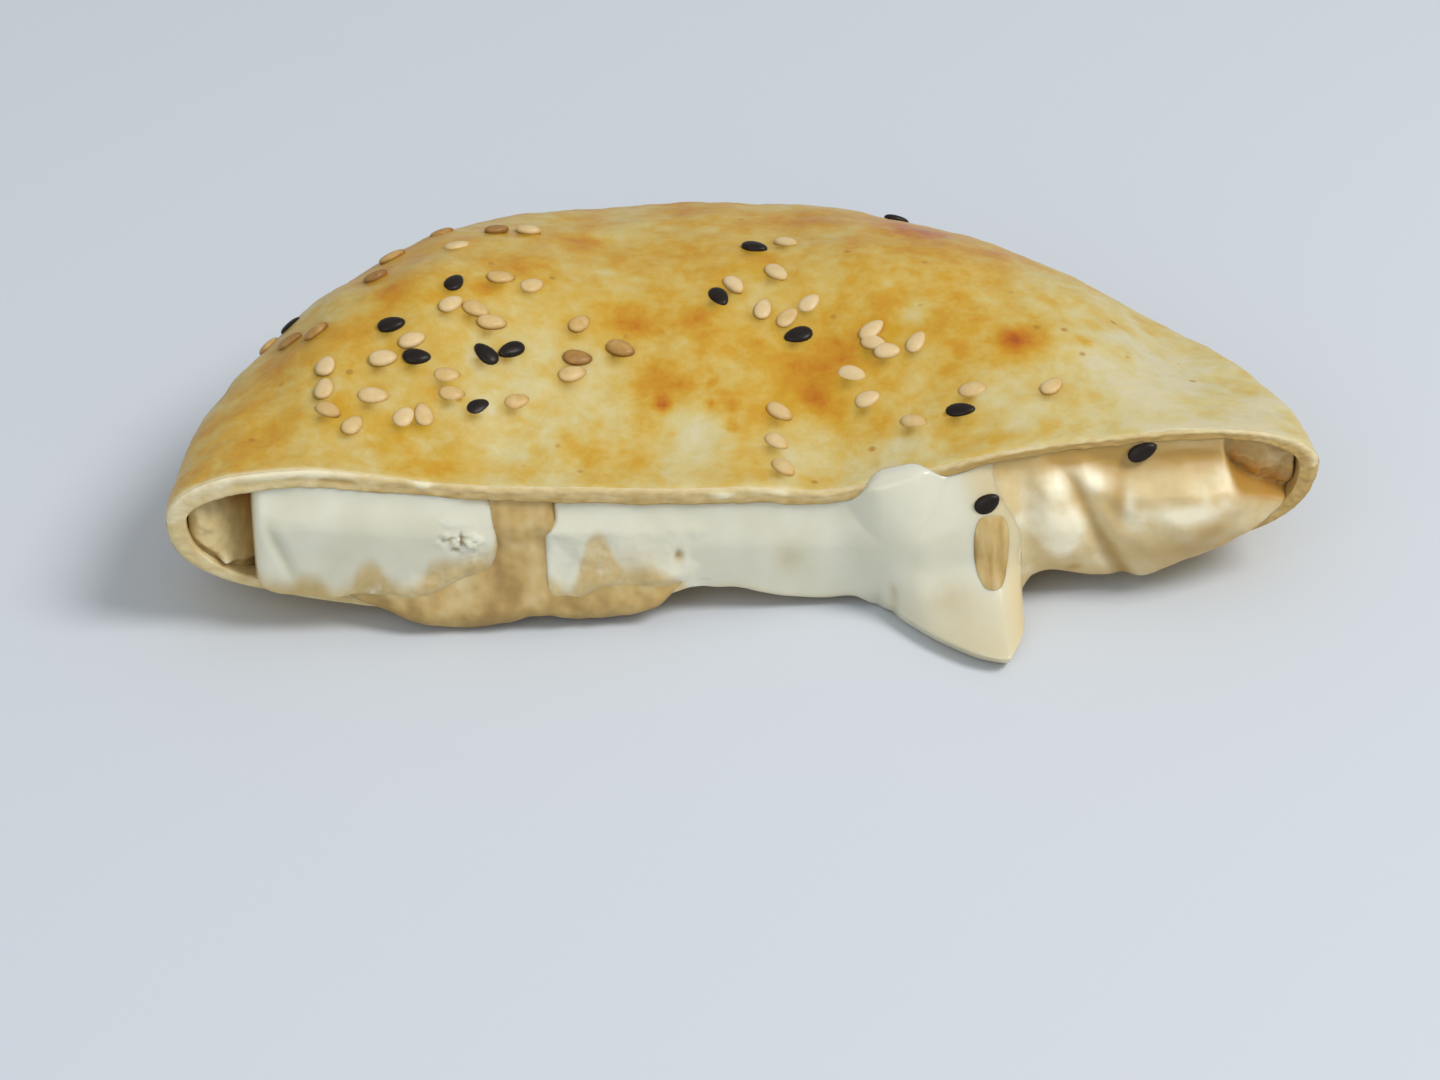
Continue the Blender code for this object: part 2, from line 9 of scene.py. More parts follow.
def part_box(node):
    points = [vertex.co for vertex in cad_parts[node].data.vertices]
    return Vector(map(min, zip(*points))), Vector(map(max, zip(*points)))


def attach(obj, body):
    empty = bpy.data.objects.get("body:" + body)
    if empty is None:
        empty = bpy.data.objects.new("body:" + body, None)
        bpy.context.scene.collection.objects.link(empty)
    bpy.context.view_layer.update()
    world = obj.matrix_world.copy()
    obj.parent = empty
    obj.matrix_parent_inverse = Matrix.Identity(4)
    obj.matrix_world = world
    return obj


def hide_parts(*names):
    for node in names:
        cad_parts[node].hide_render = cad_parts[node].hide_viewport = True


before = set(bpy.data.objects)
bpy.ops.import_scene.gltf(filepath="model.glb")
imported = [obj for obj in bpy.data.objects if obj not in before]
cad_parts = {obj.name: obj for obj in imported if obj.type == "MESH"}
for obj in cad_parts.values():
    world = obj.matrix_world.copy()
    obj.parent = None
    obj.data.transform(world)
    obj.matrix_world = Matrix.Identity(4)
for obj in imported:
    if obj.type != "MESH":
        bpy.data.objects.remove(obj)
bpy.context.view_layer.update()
print("frame loaded:", ", ".join(sorted(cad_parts)))

# The half pie in plan. x runs along the cut and d is the distance behind it, both in metres
crustLow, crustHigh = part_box("crust")
cutY = crustLow.y
leftTip, rightTip = -crustLow.x, crustHigh.x
depth = crustHigh.y - cutY
mm = 0.001


def inMm(*lengths):
    return tuple(length * mm for length in lengths)


def curveThrough(*points):
    # smooth, and makes no waves between its points
    xs = [p[0] * mm for p in points]
    ys = [p[1] * mm for p in points]
    steps = [(ys[i + 1] - ys[i]) / (xs[i + 1] - xs[i]) for i in range(len(xs) - 1)]
    slopes = [steps[0]]
    for before, after in zip(steps, steps[1:]):
        slopes.append(2 * before * after / (before + after) if before * after > 0 else 0.0)
    slopes.append(steps[-1])

    def height(x):
        x = min(max(x, xs[0]), xs[-1])
        i = max(k for k in range(len(xs) - 1) if x >= xs[k])
        span = xs[i + 1] - xs[i]
        t = (x - xs[i]) / span
        return (
            (1 + 2 * t) * (1 - t) ** 2 * ys[i]
            + t * (1 - t) ** 2 * span * slopes[i]
            + t * t * (3 - 2 * t) * ys[i + 1]
            + t * t * (t - 1) * span * slopes[i + 1]
        )

    return height


# Heights along the cut, in mm: the crust's upper edge, its underside, and the fold at the rim. Then how much
# higher the roof stands behind the cut, and how thick it is
topEdge = curveThrough(
    (-56, 19.0), (-46, 19.3), (-36, 17.9), (-25, 16.2), (-12, 15.3), (0, 14.7),
    (8, 13.8), (17, 15.5), (27, 17.6), (38, 18.8), (48, 19.1), (57, 18.9),
)
underEdge = curveThrough(
    (-56, 6.2), (-51, 5.2), (-46, 3.7), (-40.5, 2.4), (-36.5, 1.6), (-33, 0.8), (-29, 0), (-25, 0.6),
    (-22, 1.5), (-19.6, 1.3), (-17, 0.6), (-13, 0.8), (-10, 1.7), (-7.5, 2.8), (-4.8, 3.3), (-1.4, 3.2),
    (2, 2.3), (5.3, 1.5), (8.7, 1.2), (11.4, 1.4), (14, 0.2), (16, 0), (27.4, 0), (28.8, 0.9),
    (30.3, 2.6), (33, 2.9), (37.5, 2.6), (41, 2.3), (46, 4.2), (52, 5.6), (57, 6.3),
)
rimHeight = curveThrough((-59.4, 13.6), (-45, 13.5), (-10, 12.1), (30, 9.3), (60.4, 14.4))
roofRise = curveThrough(
    (-59, -1.0), (-50, 1.0), (-40, 6.9), (-28, 10.6), (-10, 8.7), (10, 10.1), (25, 7.3), (40, 2.5),
    (50, -2.7), (60, 0),
)
roofWall = curveThrough(
    (-56, 2.3), (-44, 2.1), (-31, 1.6), (-20, 1.8), (-5, 1.8), (8, 1.6), (20, 1.2), (30, 1.0), (57, 1.2),
)


def mix(low, high, share):
    return low + (high - low) * share


def ramp(x, start, end):
    share = min(max((x - start) / (end - start), 0.0), 1.0)
    return share * share * (3 - 2 * share)


def rampMm(x, start, end):
    # x in metres, and the rest in mm
    return ramp(x, start * mm, end * mm)


def plateau(x, start, full, fades, end):
    # rises from start to full, and falls from fades to end
    return ramp(x, start, full) * ramp(x, end, fades)


def rounded(share, roundness):
    return max(0.0, 1 - min(share, 1.0) ** roundness) ** (1 / roundness)


def wave(x, y, z, size, octaves=1):
    # smooth noise between about -1 and 1, with lumps of this size in mm
    return noise.fractal(Vector((x, y, z)) / (size * mm), 0.8, 2.0, octaves)


def spot(x, y, centre, radius):
    # 1 in the middle of a soft round spot
    return math.exp(-((x - centre[0]) ** 2 + (y - centre[1]) ** 2) / radius ** 2)


def oval(x, z, place):
    # 1 in the middle of a soft oval. Its place is x, z, half width and half height in mm
    return math.exp(
        -((x - place[0] * mm) / (place[2] * mm)) ** 2 - ((z - place[1] * mm) / (place[3] * mm)) ** 2
    )


def ovals(x, z, places):
    return min(1.0, sum(oval(x, z, place) for place in places))


pocket = {
    "leftWall": 2.0 * mm,
    "rightWall": 2.1 * mm,
    "backWall": 2.6 * mm,
    "baseWall": 1.3 * mm,
    "planRoundness": 1.87,
    "tipFrom": 50 * mm,
    "tipRoundness": 2.2,
    "crestAt": 0.62,
    # the roof's section is rounder in the middle than from there outward
    "roofRoundness": (2.6, 2.15),
    "middleTo": inMm(15, 50),
    "baseFlatTo": 0.76,
    "archFadesBy": 18 * mm,
    "unevenness": 0.3 * mm,
    "unevenSize": 13 * mm,
    "shallowest": 0.3 * mm,
    # how the rows crowd towards the rim
    "rowSpread": (1.5, 2 / 2.6),
}


def tip(x, inner):
    return leftTip - inner * pocket["leftWall"] if x < 0 else rightTip - inner * pocket["rightWall"]


def reach(x, inner):
    return (depth - inner * pocket["backWall"]) * rounded(abs(x) / tip(x, inner), pocket["planRoundness"])


def tipShare(x, inner):
    past = (abs(x) - pocket["tipFrom"]) / (tip(x, inner) - pocket["tipFrom"])
    return rounded(max(0.0, past), pocket["tipRoundness"])


def depthShare(x, d, inner):
    return d / max(reach(x, inner), pocket["shallowest"])


def roofHeight(x, d, inner):
    share = depthShare(x, d, inner)
    crest = topEdge(x) + roofRise(x) * ramp(share, 0.0, pocket["crestAt"]) - inner * roofWall(x)
    crest += pocket["unevenness"] * noise.noise(Vector((x, d, 0)) / pocket["unevenSize"])
    roundness = mix(*pocket["roofRoundness"], ramp(abs(x), *pocket["middleTo"]))
    rim = rimHeight(x)
    return rim + (crest - rim) * rounded(share, roundness) * tipShare(x, inner)


def baseHeight(x, d, inner):
    share = depthShare(x, d, inner)
    flatTo = pocket["baseFlatTo"]
    curl = rounded(max(0.0, (share - flatTo) / (1 - flatTo)), 2)
    level = underEdge(x) * ramp(d, pocket["archFadesBy"], 0.0) + inner * pocket["baseWall"]
    rim = rimHeight(x)
    return rim - (rim - level) * curl * tipShare(x, inner)


def pocketPoint(along, around, inner):
    # along runs from tip to tip, around from -1 at the upper edge to 1 below
    left, right = tip(-1, inner), tip(1, inner)
    x = (right - left) / 2 + (right + left) / 2 * math.sin(along * math.pi / 2)
    crowded, flatter = pocket["rowSpread"]
    fromRim = 1 - (1 - abs(around)) ** crowded
    d = reach(x, inner) * max(0.0, math.cos(fromRim * math.pi / 2)) ** flatter
    return Vector((x, cutY + d, roofHeight(x, d, inner) if around < 0 else baseHeight(x, d, inner)))


# Materials
def addNode(tree, kind, inputs=None, **settings):
    made = tree.nodes.new(kind)
    for name, value in settings.items():
        setattr(made, name, value)
    for name, value in (inputs or {}).items():
        if isinstance(value, bpy.types.NodeSocket):
            tree.links.new(value, made.inputs[name])
        else:
            made.inputs[name].default_value = value
    return made


def newMaterial(name, *looks):
    # gives the material, its tree, the shader's inputs, and the object coordinates
    sockets = ("Roughness", "Specular IOR Level", "Coat Weight", "Coat Roughness")
    sockets += ("Subsurface Weight", "Subsurface Radius", "Subsurface Scale")
    material = bpy.data.materials.new(name)
    material.use_nodes = True
    tree = material.node_tree
    shader = tree.nodes["Principled BSDF"].inputs
    for socket, value in zip(sockets, looks):
        shader[socket].default_value = value
    return material, tree, shader, addNode(tree, "ShaderNodeTexCoord").outputs["Object"]


def linkLooks(tree, shader, colour, normal):
    tree.links.new(colour, shader["Base Color"])
    tree.links.new(normal, shader["Normal"])


def attributeOf(tree, name):
    return addNode(tree, "ShaderNodeAttribute", attribute_name=name).outputs["Fac"]


def noiseOf(tree, coords, scale, detail=3.0, roughness=0.55, distortion=0.0):
    inputs = {"Vector": coords, "Scale": scale, "Detail": detail, "Roughness": roughness}
    return addNode(tree, "ShaderNodeTexNoise", {**inputs, "Distortion": distortion}).outputs["Fac"]


def rangeOf(tree, value, fromLow, fromHigh, toLow=0.0, toHigh=1.0):
    inputs = {"Value": value, "From Min": fromLow, "From Max": fromHigh, "To Min": toLow, "To Max": toHigh}
    return addNode(tree, "ShaderNodeMapRange", inputs).outputs["Result"]


def calc(tree, operation, a, b):
    made = addNode(tree, "ShaderNodeMath", operation=operation)
    for socket, value in zip(made.inputs, (a, b)):
        if isinstance(value, bpy.types.NodeSocket):
            tree.links.new(value, socket)
        else:
            socket.default_value = value
    return made.outputs[0]


def mixColour(tree, factor, low, high):
    return addNode(tree, "ShaderNodeMixRGB", {"Fac": factor, "Color1": low, "Color2": high}).outputs["Color"]


def colourRamp(tree, value, stops):
    made = addNode(tree, "ShaderNodeValToRGB", {"Fac": value})
    ends = made.color_ramp.elements
    while len(ends) < len(stops):
        ends.new(0.5)
    for end, (position, *colour) in zip(ends, stops):
        end.position = position
        end.color = rgb(*colour)
    return made.outputs["Color"]


def unevenTone(tree, coords, name, scale, detail=3, spread=0.12):
    # what the points carry under this name, made uneven by noise
    noisy = rangeOf(tree, noiseOf(tree, coords, scale, detail), 0.3, 0.7, -spread, spread)
    return calc(tree, "ADD", attributeOf(tree, name), noisy)


def rgb(red, green, blue):
    # from 0-255 as on a screen to the linear colour of a shader
    parts = [c / 255 for c in (red, green, blue)]
    return (*[c / 12.92 if c < 0.04045 else ((c + 0.055) / 1.055) ** 2.4 for c in parts], 1.0)


def bumpFrom(tree, height, strength, distance, normal=None):
    inputs = {"Height": height, "Strength": strength, "Distance": distance}
    if normal:
        inputs["Normal"] = normal
    return addNode(tree, "ShaderNodeBump", inputs).outputs["Normal"]


# Meshes
def addLayers(bm, *names):
    # numbers that the points carry for the materials
    for name in names:
        bm.verts.layers.float.new(name)
    return [bm.verts.layers.float[name] for name in names]


def addObject(name, data):
    made = bpy.data.objects.new(name, data)
    bpy.context.scene.collection.objects.link(made)
    return made


def addMesh(name, bm, material):
    mesh = bpy.data.meshes.new(name)
    bm.to_mesh(mesh)
    bm.free()
    mesh.materials.append(material)
    return addObject(name, mesh)


def finishPiece(name, bm, material, replaced):
    bmesh.ops.recalc_face_normals(bm, faces=bm.faces)
    piece = addMesh(name, bm, material)
    piece.data.shade_smooth()
    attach(piece, "root")
    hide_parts(replaced)
    print(name, "made,", len(piece.data.polygons), "faces")


def pushOut(bm, relief):
    # moves each point along its normal by what relief says
    bmesh.ops.recalc_face_normals(bm, faces=bm.faces)
    moves = [(vert, vert.normal * relief[vert.index]) for vert in bm.verts]
    for vert, move in moves:
        vert.co += move


def cellBlock(counts):
    # a cube cut into cells, and for each of its points the share along, the row back and the share up
    bm = bmesh.new()
    bmesh.ops.create_cube(bm, size=1.0, matrix=Matrix.Translation((0.5, 0.5, 0.5)))
    for axis, count in enumerate(counts):
        uncut = [e for e in bm.edges if abs(e.verts[0].co[axis] - e.verts[1].co[axis]) > 0.5]
        bmesh.ops.subdivide_edges(bm, edges=uncut, cuts=count - 1, use_grid_fill=True)
    columns, rows, layers = counts
    cells = []
    for vert in bm.verts:
        x, y, z = vert.co
        cells.append((round(x * columns) / columns, round(y * rows), round(z * layers) / layers))
    bm.verts.index_update()
    return bm, cells


# Sesame seeds on the crust, which the egg wash gathers round
seeds = {
    "size": inMm(3.05, 1.95, 1.0),
    "taper": 0.38,
    "bend": 0.12,
    "sunk": (0.36, 0.5),
    "blackToast": 0.3,
    # on the roof, each with x and d in mm, and the way that its point lies in degrees
    "black": (
        (-28.6, 26.9, 63), (-35.5, 20.9, 9), (-33.0, 16.4, -5), (-46.3, 31, 170), (-25.7, 17.6, 134),
        (-23, 18.5, -150), (-26.9, 11.1, 36), (4.6, 37, -27), (-0.2, 27.5, -69), (7.9, 22, -164),
        (23.6, 8.0, -12), (22.3, 52.0, 0),
    ),
    # the white ones also say how toasted they are
    "white": (
        (-29.5, 44, 30, 0.7), (-28, 36.5, 25, 0.1), (-23.5, 42, 20, 0.9), (-20, 42, -20, 0.15),
        (-35.1, 39, 20, 0.6), (-37, 32.5, 15, 0.9), (-23.6, 28.6, 3, 0.4), (-20.3, 28, 36, 0.25),
        (-29.1, 23.5, 39, 0.1), (-26.5, 23.1, -25, 0.35), (-24.9, 21.6, -1, 0.35), (-43.5, 22.9, 20, 0.7),
        (-46.4, 25, -10, 0.75), (-48.8, 30.2, 50, 0.5), (-42.5, 15.8, 75, 0.1), (-42.8, 12.5, 76, 0.2),
        (-42.4, 9.4, -37, 0.4), (-40, 7.5, 57, 0.3), (-36.5, 16.2, 6, 0.1), (-33.4, 18.4, 23, 0.1),
        (-29.9, 14.4, 4, 0.35), (-29.5, 12.3, -3, 0.35), (-37.7, 11.5, -5, 0.2), (-34.6, 9, 59, 0.1),
        (-32.6, 9.4, 102, 0.25), (-22.8, 12.3, 24, 0.4), (8.2, 38.1, -39, 0.1), (6.5, 31.4, -59, 0.1),
        (1.6, 29.3, -62, 0.05), (4.4, 25.6, 75, 0.1), (7, 24.4, 53, 0.3), (9.5, 26.2, 44, 0.05),
        (-16, 18.7, -2, 0.85), (-16.7, 16.5, 18, 0.3), (-11.3, 20.4, -24, 0.7), (4.9, 11.8, -43, 0.3),
        (4.2, 7.8, -45, 0.2), (4.5, 3.8, -56, 0.3), (-15.5, 23.4, 49, 0.45), (13, 15.8, -29, 0.05),
        (14.3, 12.2, 19, 0.1), (18.7, 8.0, -28, 0.35), (15.7, 20.9, 40, 0.1), (15.7, 19.2, -30, 0.1),
        (17, 17.8, -7, 0.05), (20.2, 18.4, 57, 0.1), (25.2, 10.5, -2, 0.25), (33.4, 9.5, 41, 0.25),
    ),
    # two black ones on the filling: x and z in mm, the way it faces and the way that its point lies
    "onFilling": (
        ((25.1, 12.9), (0, -1, 0.3), (0.85, 0, 0.5)),
        ((41.5, 17.0), (0, -1, 0.4), (0.9, 0, 0.4)),
    ),
    "inFilling": 0.2 * mm,
}

# Crust
crust = {
    "columns": 340,
    # once round the pocket: each run of rows, where it starts and ends, and its number of rows
    "rows": (
        ("outer", -1, 0, 88), ("outer", 0, 1, 36), ("lower", 0, 1, 12),
        ("inner", 1, 0, 34), ("inner", 0, -1, 34), ("upper", 0, 1, 12),
    ),
    "lumps": (0.35 * mm, 11),
    "dimples": (0.11 * mm, 2.6),
    "lipRough": 0.17 * mm,
    "unevenLip": 0.22 * mm,
    "edgeRound": 0.35 * mm,
    "bakeAndLight": 0.4,
    "bakeBelow": 0.42,
    # pale flakes on the lip: x in mm, share of its thickness, half width and half share, and how pale
    "flakes": (
        (-1.9, 0.55, 1.1, 0.22, 0.8), (-33.2, 0.8, 0.8, 0.3, 0.8), (3.6, 0.75, 1.3, 0.2, 0.5),
        (-46, 0.85, 3.5, 0.14, 0.4),
    ),
    # along the cut, where the lip turns paler, tan, and pale again, and where its layers part
    "paleLeft": inMm(-34, -44),
    "tanRight": inMm(18, 30),
    "paleRight": inMm(43, 54),
    "parts": inMm(-33, -40, -53, -57),
    "goldenInside": inMm(57.9, 16.7),
    # golden and browned places on the roof, and painted shade on its left flank: x, d, radius in mm, and how
    # much browner
    "brownedAndShaded": (
        (30.8, 16.5, 2.3, 0.6), (30.5, 15, 5, 0.14), (17.1, 24.8, 1.3, 0.2), (26.3, 19.9, 1.6, 0.16),
        (23.5, 14.1, 1.6, 0.18), (14, 29.5, 2.4, 0.16), (-13.6, 39.7, 3, 0.16), (-10.5, 23.7, 1.8, 0.3),
        (-7.6, 23.6, 1.8, 0.16), (-3.3, 24.2, 1.8, 0.28), (-7.4, 12.9, 0.9, 0.5), (-5, 17, 4.2, 0.16),
        (-8, 15.5, 2.4, 0.12), (-2.1, 15.3, 0.5, 0.3), (-2.3, 12.8, 0.5, 0.3), (-0.1, 12.5, 0.6, 0.35),
        (-0.4, 9.8, 0.6, 0.35), (3.6, 21, 0.6, 0.2), (7.1, 18.1, 0.7, 0.25), (-17.9, 8.3, 1.2, 0.16),
        (-10.6, 5.1, 1.1, 0.2), (9.7, 15.5, 4.6, 0.2), (10.8, 20.5, 4.6, 0.16), (9.7, 12.5, 3.2, 0.12),
        (0, 12, 7, 0.14), (0, 4, 3, 0.12), (42.5, 9, 4, 0.14), (-35.5, 26.1, 2.5, 0.24),
        (-25, 26.7, 1.4, 0.45), (-24, 32.5, 3.5, 0.2), (-36.8, 32, 1.1, 0.34), (-40, 20, 5, 0.08),
        (19.5, 44, 5, 0.15), (25.5, 40.5, 5, 0.2), (31.5, 38, 5, 0.17), (12, 48, 6, 0.12),
        (-36, 38, 7, 0.12), (-28, 42, 6, 0.1), (17, 24, 6, 0.12), (0, 42, 9, 0.08), (-36, 5.5, 3, 0.08),
        (-50, 7, 5, 0.12), (-47, 20, 5, 0.12), (-57, 10, 7, 0.12), (22, 50, 8, 0.09), (-4, 56, 10, 0.07),
        (-21, 6, 1.0, 0.12), (-14, 10, 1.1, 0.12), (38, 17, 1.1, 0.26), (43, 23.5, 1.5, 0.26),
        (40, 20.5, 1.0, 0.22), (45.5, 13, 1.0, 0.2), (35, 25, 1.1, 0.2),
    ),
    # paler places on the roof, partly less baked and partly painted highlights: x, d, radius in mm, and how
    # much paler
    "paleAndHighlights": (
        (-5.1, 10, 3.0, 0.32), (-2.5, 6.5, 4, 0.26), (6.2, 8, 3.5, 0.24), (12.5, 3, 4, 0.2),
        (18, 3.5, 4, 0.3), (5, 3, 3, 0.1), (20.2, 22.1, 1.6, 0.34), (-22, 4, 9, 0.12), (47, 8.5, 11, 0.24),
        (46, 18, 9, 0.14), (36, 14, 8, 0.08), (44, 24, 8, 0.1), (54.5, 8, 6, 0.18), (38, 6, 9, 0.14),
        (-27, 17, 8, 0.12), (-17, 14, 6, 0.1), (16, 27, 3, 0.08), (40, 30, 8, 0.12), (20, 13, 4, 0.12),
        (26, 9.5, 5, 0.12), (-44, 3, 5, 0.1), (43.5, 0.4, 2.4, 0.26), (48.5, 0.4, 2.6, 0.26),
        (54, 0.4, 2.6, 0.22),
    ),
    "eggPools": (
        (-38.3, 6.3, 3.6, 0.9), (-33, 6, 3.6, 0.75), (-28, 7, 3.4, 0.5), (18.4, 19.8, 2.2, 0.9),
        (7, 14, 6, 0.4), (25.9, 4, 2.2, 0.8), (-18, 26, 8, 0.25), (3, 31, 6, 0.45), (-3, 3, 3, 0.3),
        (30, 9, 4, 0.25), (-33, 15, 5, 0.3), (7.3, 2.0, 1.2, 0.8), (0.5, 2.6, 2.2, 0.5),
        (14, 3.3, 0.6, 0.8), (-12, 4, 3, 0.3),
    ),
    # egg-wash pools beside each seed, and a painted shadow at each one's lower left: x and d from it, radius
    # in mm, and how much
    "seedPool": (-0.3, -0.4, 1.5, 0.55),
    "seedShadowSpot": (-0.7, -1.05, 0.8, 1.0),
}


def besideSeeds(right, back, radius, much):
    return tuple((x + right, d + back, radius, much) for x, d, *_ in seeds["white"] + seeds["black"])


def spotSum(places, x, d):
    return sum(p[3] * spot(x, d, (p[0] * mm, p[1] * mm), p[2] * mm) for p in places)


def lipLook(x, share, z):
    # how tan the cut dough is, and how far its layers part, from the lip's lower edge at 0 to its upper at 1
    left, right = ramp(x, *crust["paleLeft"]), ramp(x, *crust["tanRight"])
    fleck = wave(x, share * 1.5 * mm, z, 1.7, 3)
    tan = mix(0.72, 0.32, left) + 0.5 * (0.45 - share) + 0.2 * fleck + 0.7 * right * ramp(share, 0.8, 0.4)
    parted = spot(share, 0, (0.42 + 0.06 * fleck, 0), 0.14) * plateau(x, *crust["parts"])
    parted *= ramp(wave(x, 0.4, 0, 4), -0.3, 0.3)
    flake = sum(much * oval(x, share * mm, place) for *place, much in crust["flakes"])
    # the gap where the layers part is painted darker as shade
    return mix(tan, 0.6 * tan, ramp(x, *crust["paleRight"])) + 0.5 * parted - flake, parted - 0.7 * flake


def softEdge(e, width):
    # 1 at an edge, falling to 0 at this distance from it
    return (1 - min(max(e, 0.0), width) / width) ** 2


def makeCrust(material):
    rows = []
    for part, start, end, count in crust["rows"]:
        rows += [(part, mix(start, end, k / count)) for k in range(count)]
    pools = crust["eggPools"] + besideSeeds(*crust["seedPool"])
    seedShadows = besideSeeds(*crust["seedShadowSpot"])
    edgeRound = crust["edgeRound"]
    bm = bmesh.new()
    bmesh.ops.create_grid(bm, x_segments=crust["columns"], y_segments=len(rows), size=1.0)
    bakeAndLight, egg, seedShadow, raw = addLayers(bm, "bakeAndLight", "egg", "seedShadow", "raw")
    deep, tan, parted = addLayers(bm, "deep", "tan", "parted")
    for vert in bm.verts:
        along = vert.co.x
        part, share = rows[round((vert.co.y + 1) / 2 * len(rows)) % len(rows)]
        if part in ("outer", "inner"):
            place = pocketPoint(along, share, int(part == "inner"))
        else:
            edge = 1 if part == "lower" else -1
            start = pocketPoint(along, edge, int(part == "upper"))
            end = pocketPoint(along, edge, int(part == "lower"))
            place = start.lerp(end, share)
            e = (start - end).length * (1 - share if part == "upper" else share)
            place.y += edgeRound * softEdge(e, 0.7 * mm)
        x, d = place.x, place.y - cutY
        if part == "upper" or part == "inner" and share < 0:
            uneven = crust["unevenLip"] * wave(x, 0.9, 0, 3.2, 3) * rampMm(d, 2.5, 0.5)
            uneven *= rampMm(tip(x, 1) - abs(x), 0.2, 6)
            place.z += uneven * (1 - share if part == "upper" else 1)
        if part == "outer":
            vert[egg] = spotSum(pools, x, d) * (share < 0)
            # painted shadow beside each seed
            vert[seedShadow] = spotSum(seedShadows, x, d) * (share < 0)
            # how baked the skin is, with painted highlights in some of its pale places and painted shade on
            # its left flank
            vert[bakeAndLight] = crust["bakeAndLight"] + spotSum(crust["brownedAndShaded"], x, d) - spotSum(crust["paleAndHighlights"], x, d)
            vert[bakeAndLight] += 0.10 * wave(x, d, place.z, 8, 4) - 0.12 * rampMm(d, 2.5, 0)
            if share >= 0:
                vert[bakeAndLight] = crust["bakeBelow"] + 0.24 * wave(x, d, 0.1, 10, 4)
            place.y += edgeRound * softEdge(d, 0.3 * mm)
            place.z += math.copysign(0.2 * mm, share) * softEdge(d, 0.9 * mm)
            vert[raw] = ramp(d, mix(0.45 * mm, 1.1 * mm, rampMm(x, -30, -44)), 0.0)
            vert[tan] = 0.2
        else:
            vert[raw] = 1.0
            # painted shade, darker deeper inside the pocket
            vert[deep] = rampMm(d, 1.5, 12) if part == "inner" else 0.0
            vert[tan], vert[parted] = lipLook(x, share if part == "upper" else 0.1, place.z)
            golden = spot(x, place.z, crust["goldenInside"], 1.2 * mm) * rampMm(d, 7, 1)
            vert[deep] = max(vert[deep], 0.8 * golden * (part == "inner"))
        vert.co = place
    bmesh.ops.remove_doubles(bm, verts=bm.verts, dist=1e-6)
    bmesh.ops.recalc_face_normals(bm, faces=bm.faces)

    (lumps, lumpSize), (dimples, dimpleSize) = crust["lumps"], crust["dimples"]
    moves = {}
    for vert in bm.verts:
        x, y, z = vert.co
        soft = 1 - vert[raw]
        swell = lumps * wave(x, y, z, lumpSize, 2) * soft
        swell += dimples * wave(x, y, z, dimpleSize, 3) * soft
        torn = crust["lipRough"] * wave(x, 0.3 * y, 1.6 * z, 0.9, 4) * (vert[raw] - vert[deep])
        torn = torn * mix(1.0, 0.4, rampMm(x, -40, -50)) + 0.3 * mm * vert[parted]
        moves[vert] = vert.normal * (swell + torn * 0.25) + Vector((0, torn, 0)) * rampMm(y - cutY, 1.5, 0)
    for vert, move in moves.items():
        vert.co += move
    finishPiece("crust_shell", bm, material, "crust")


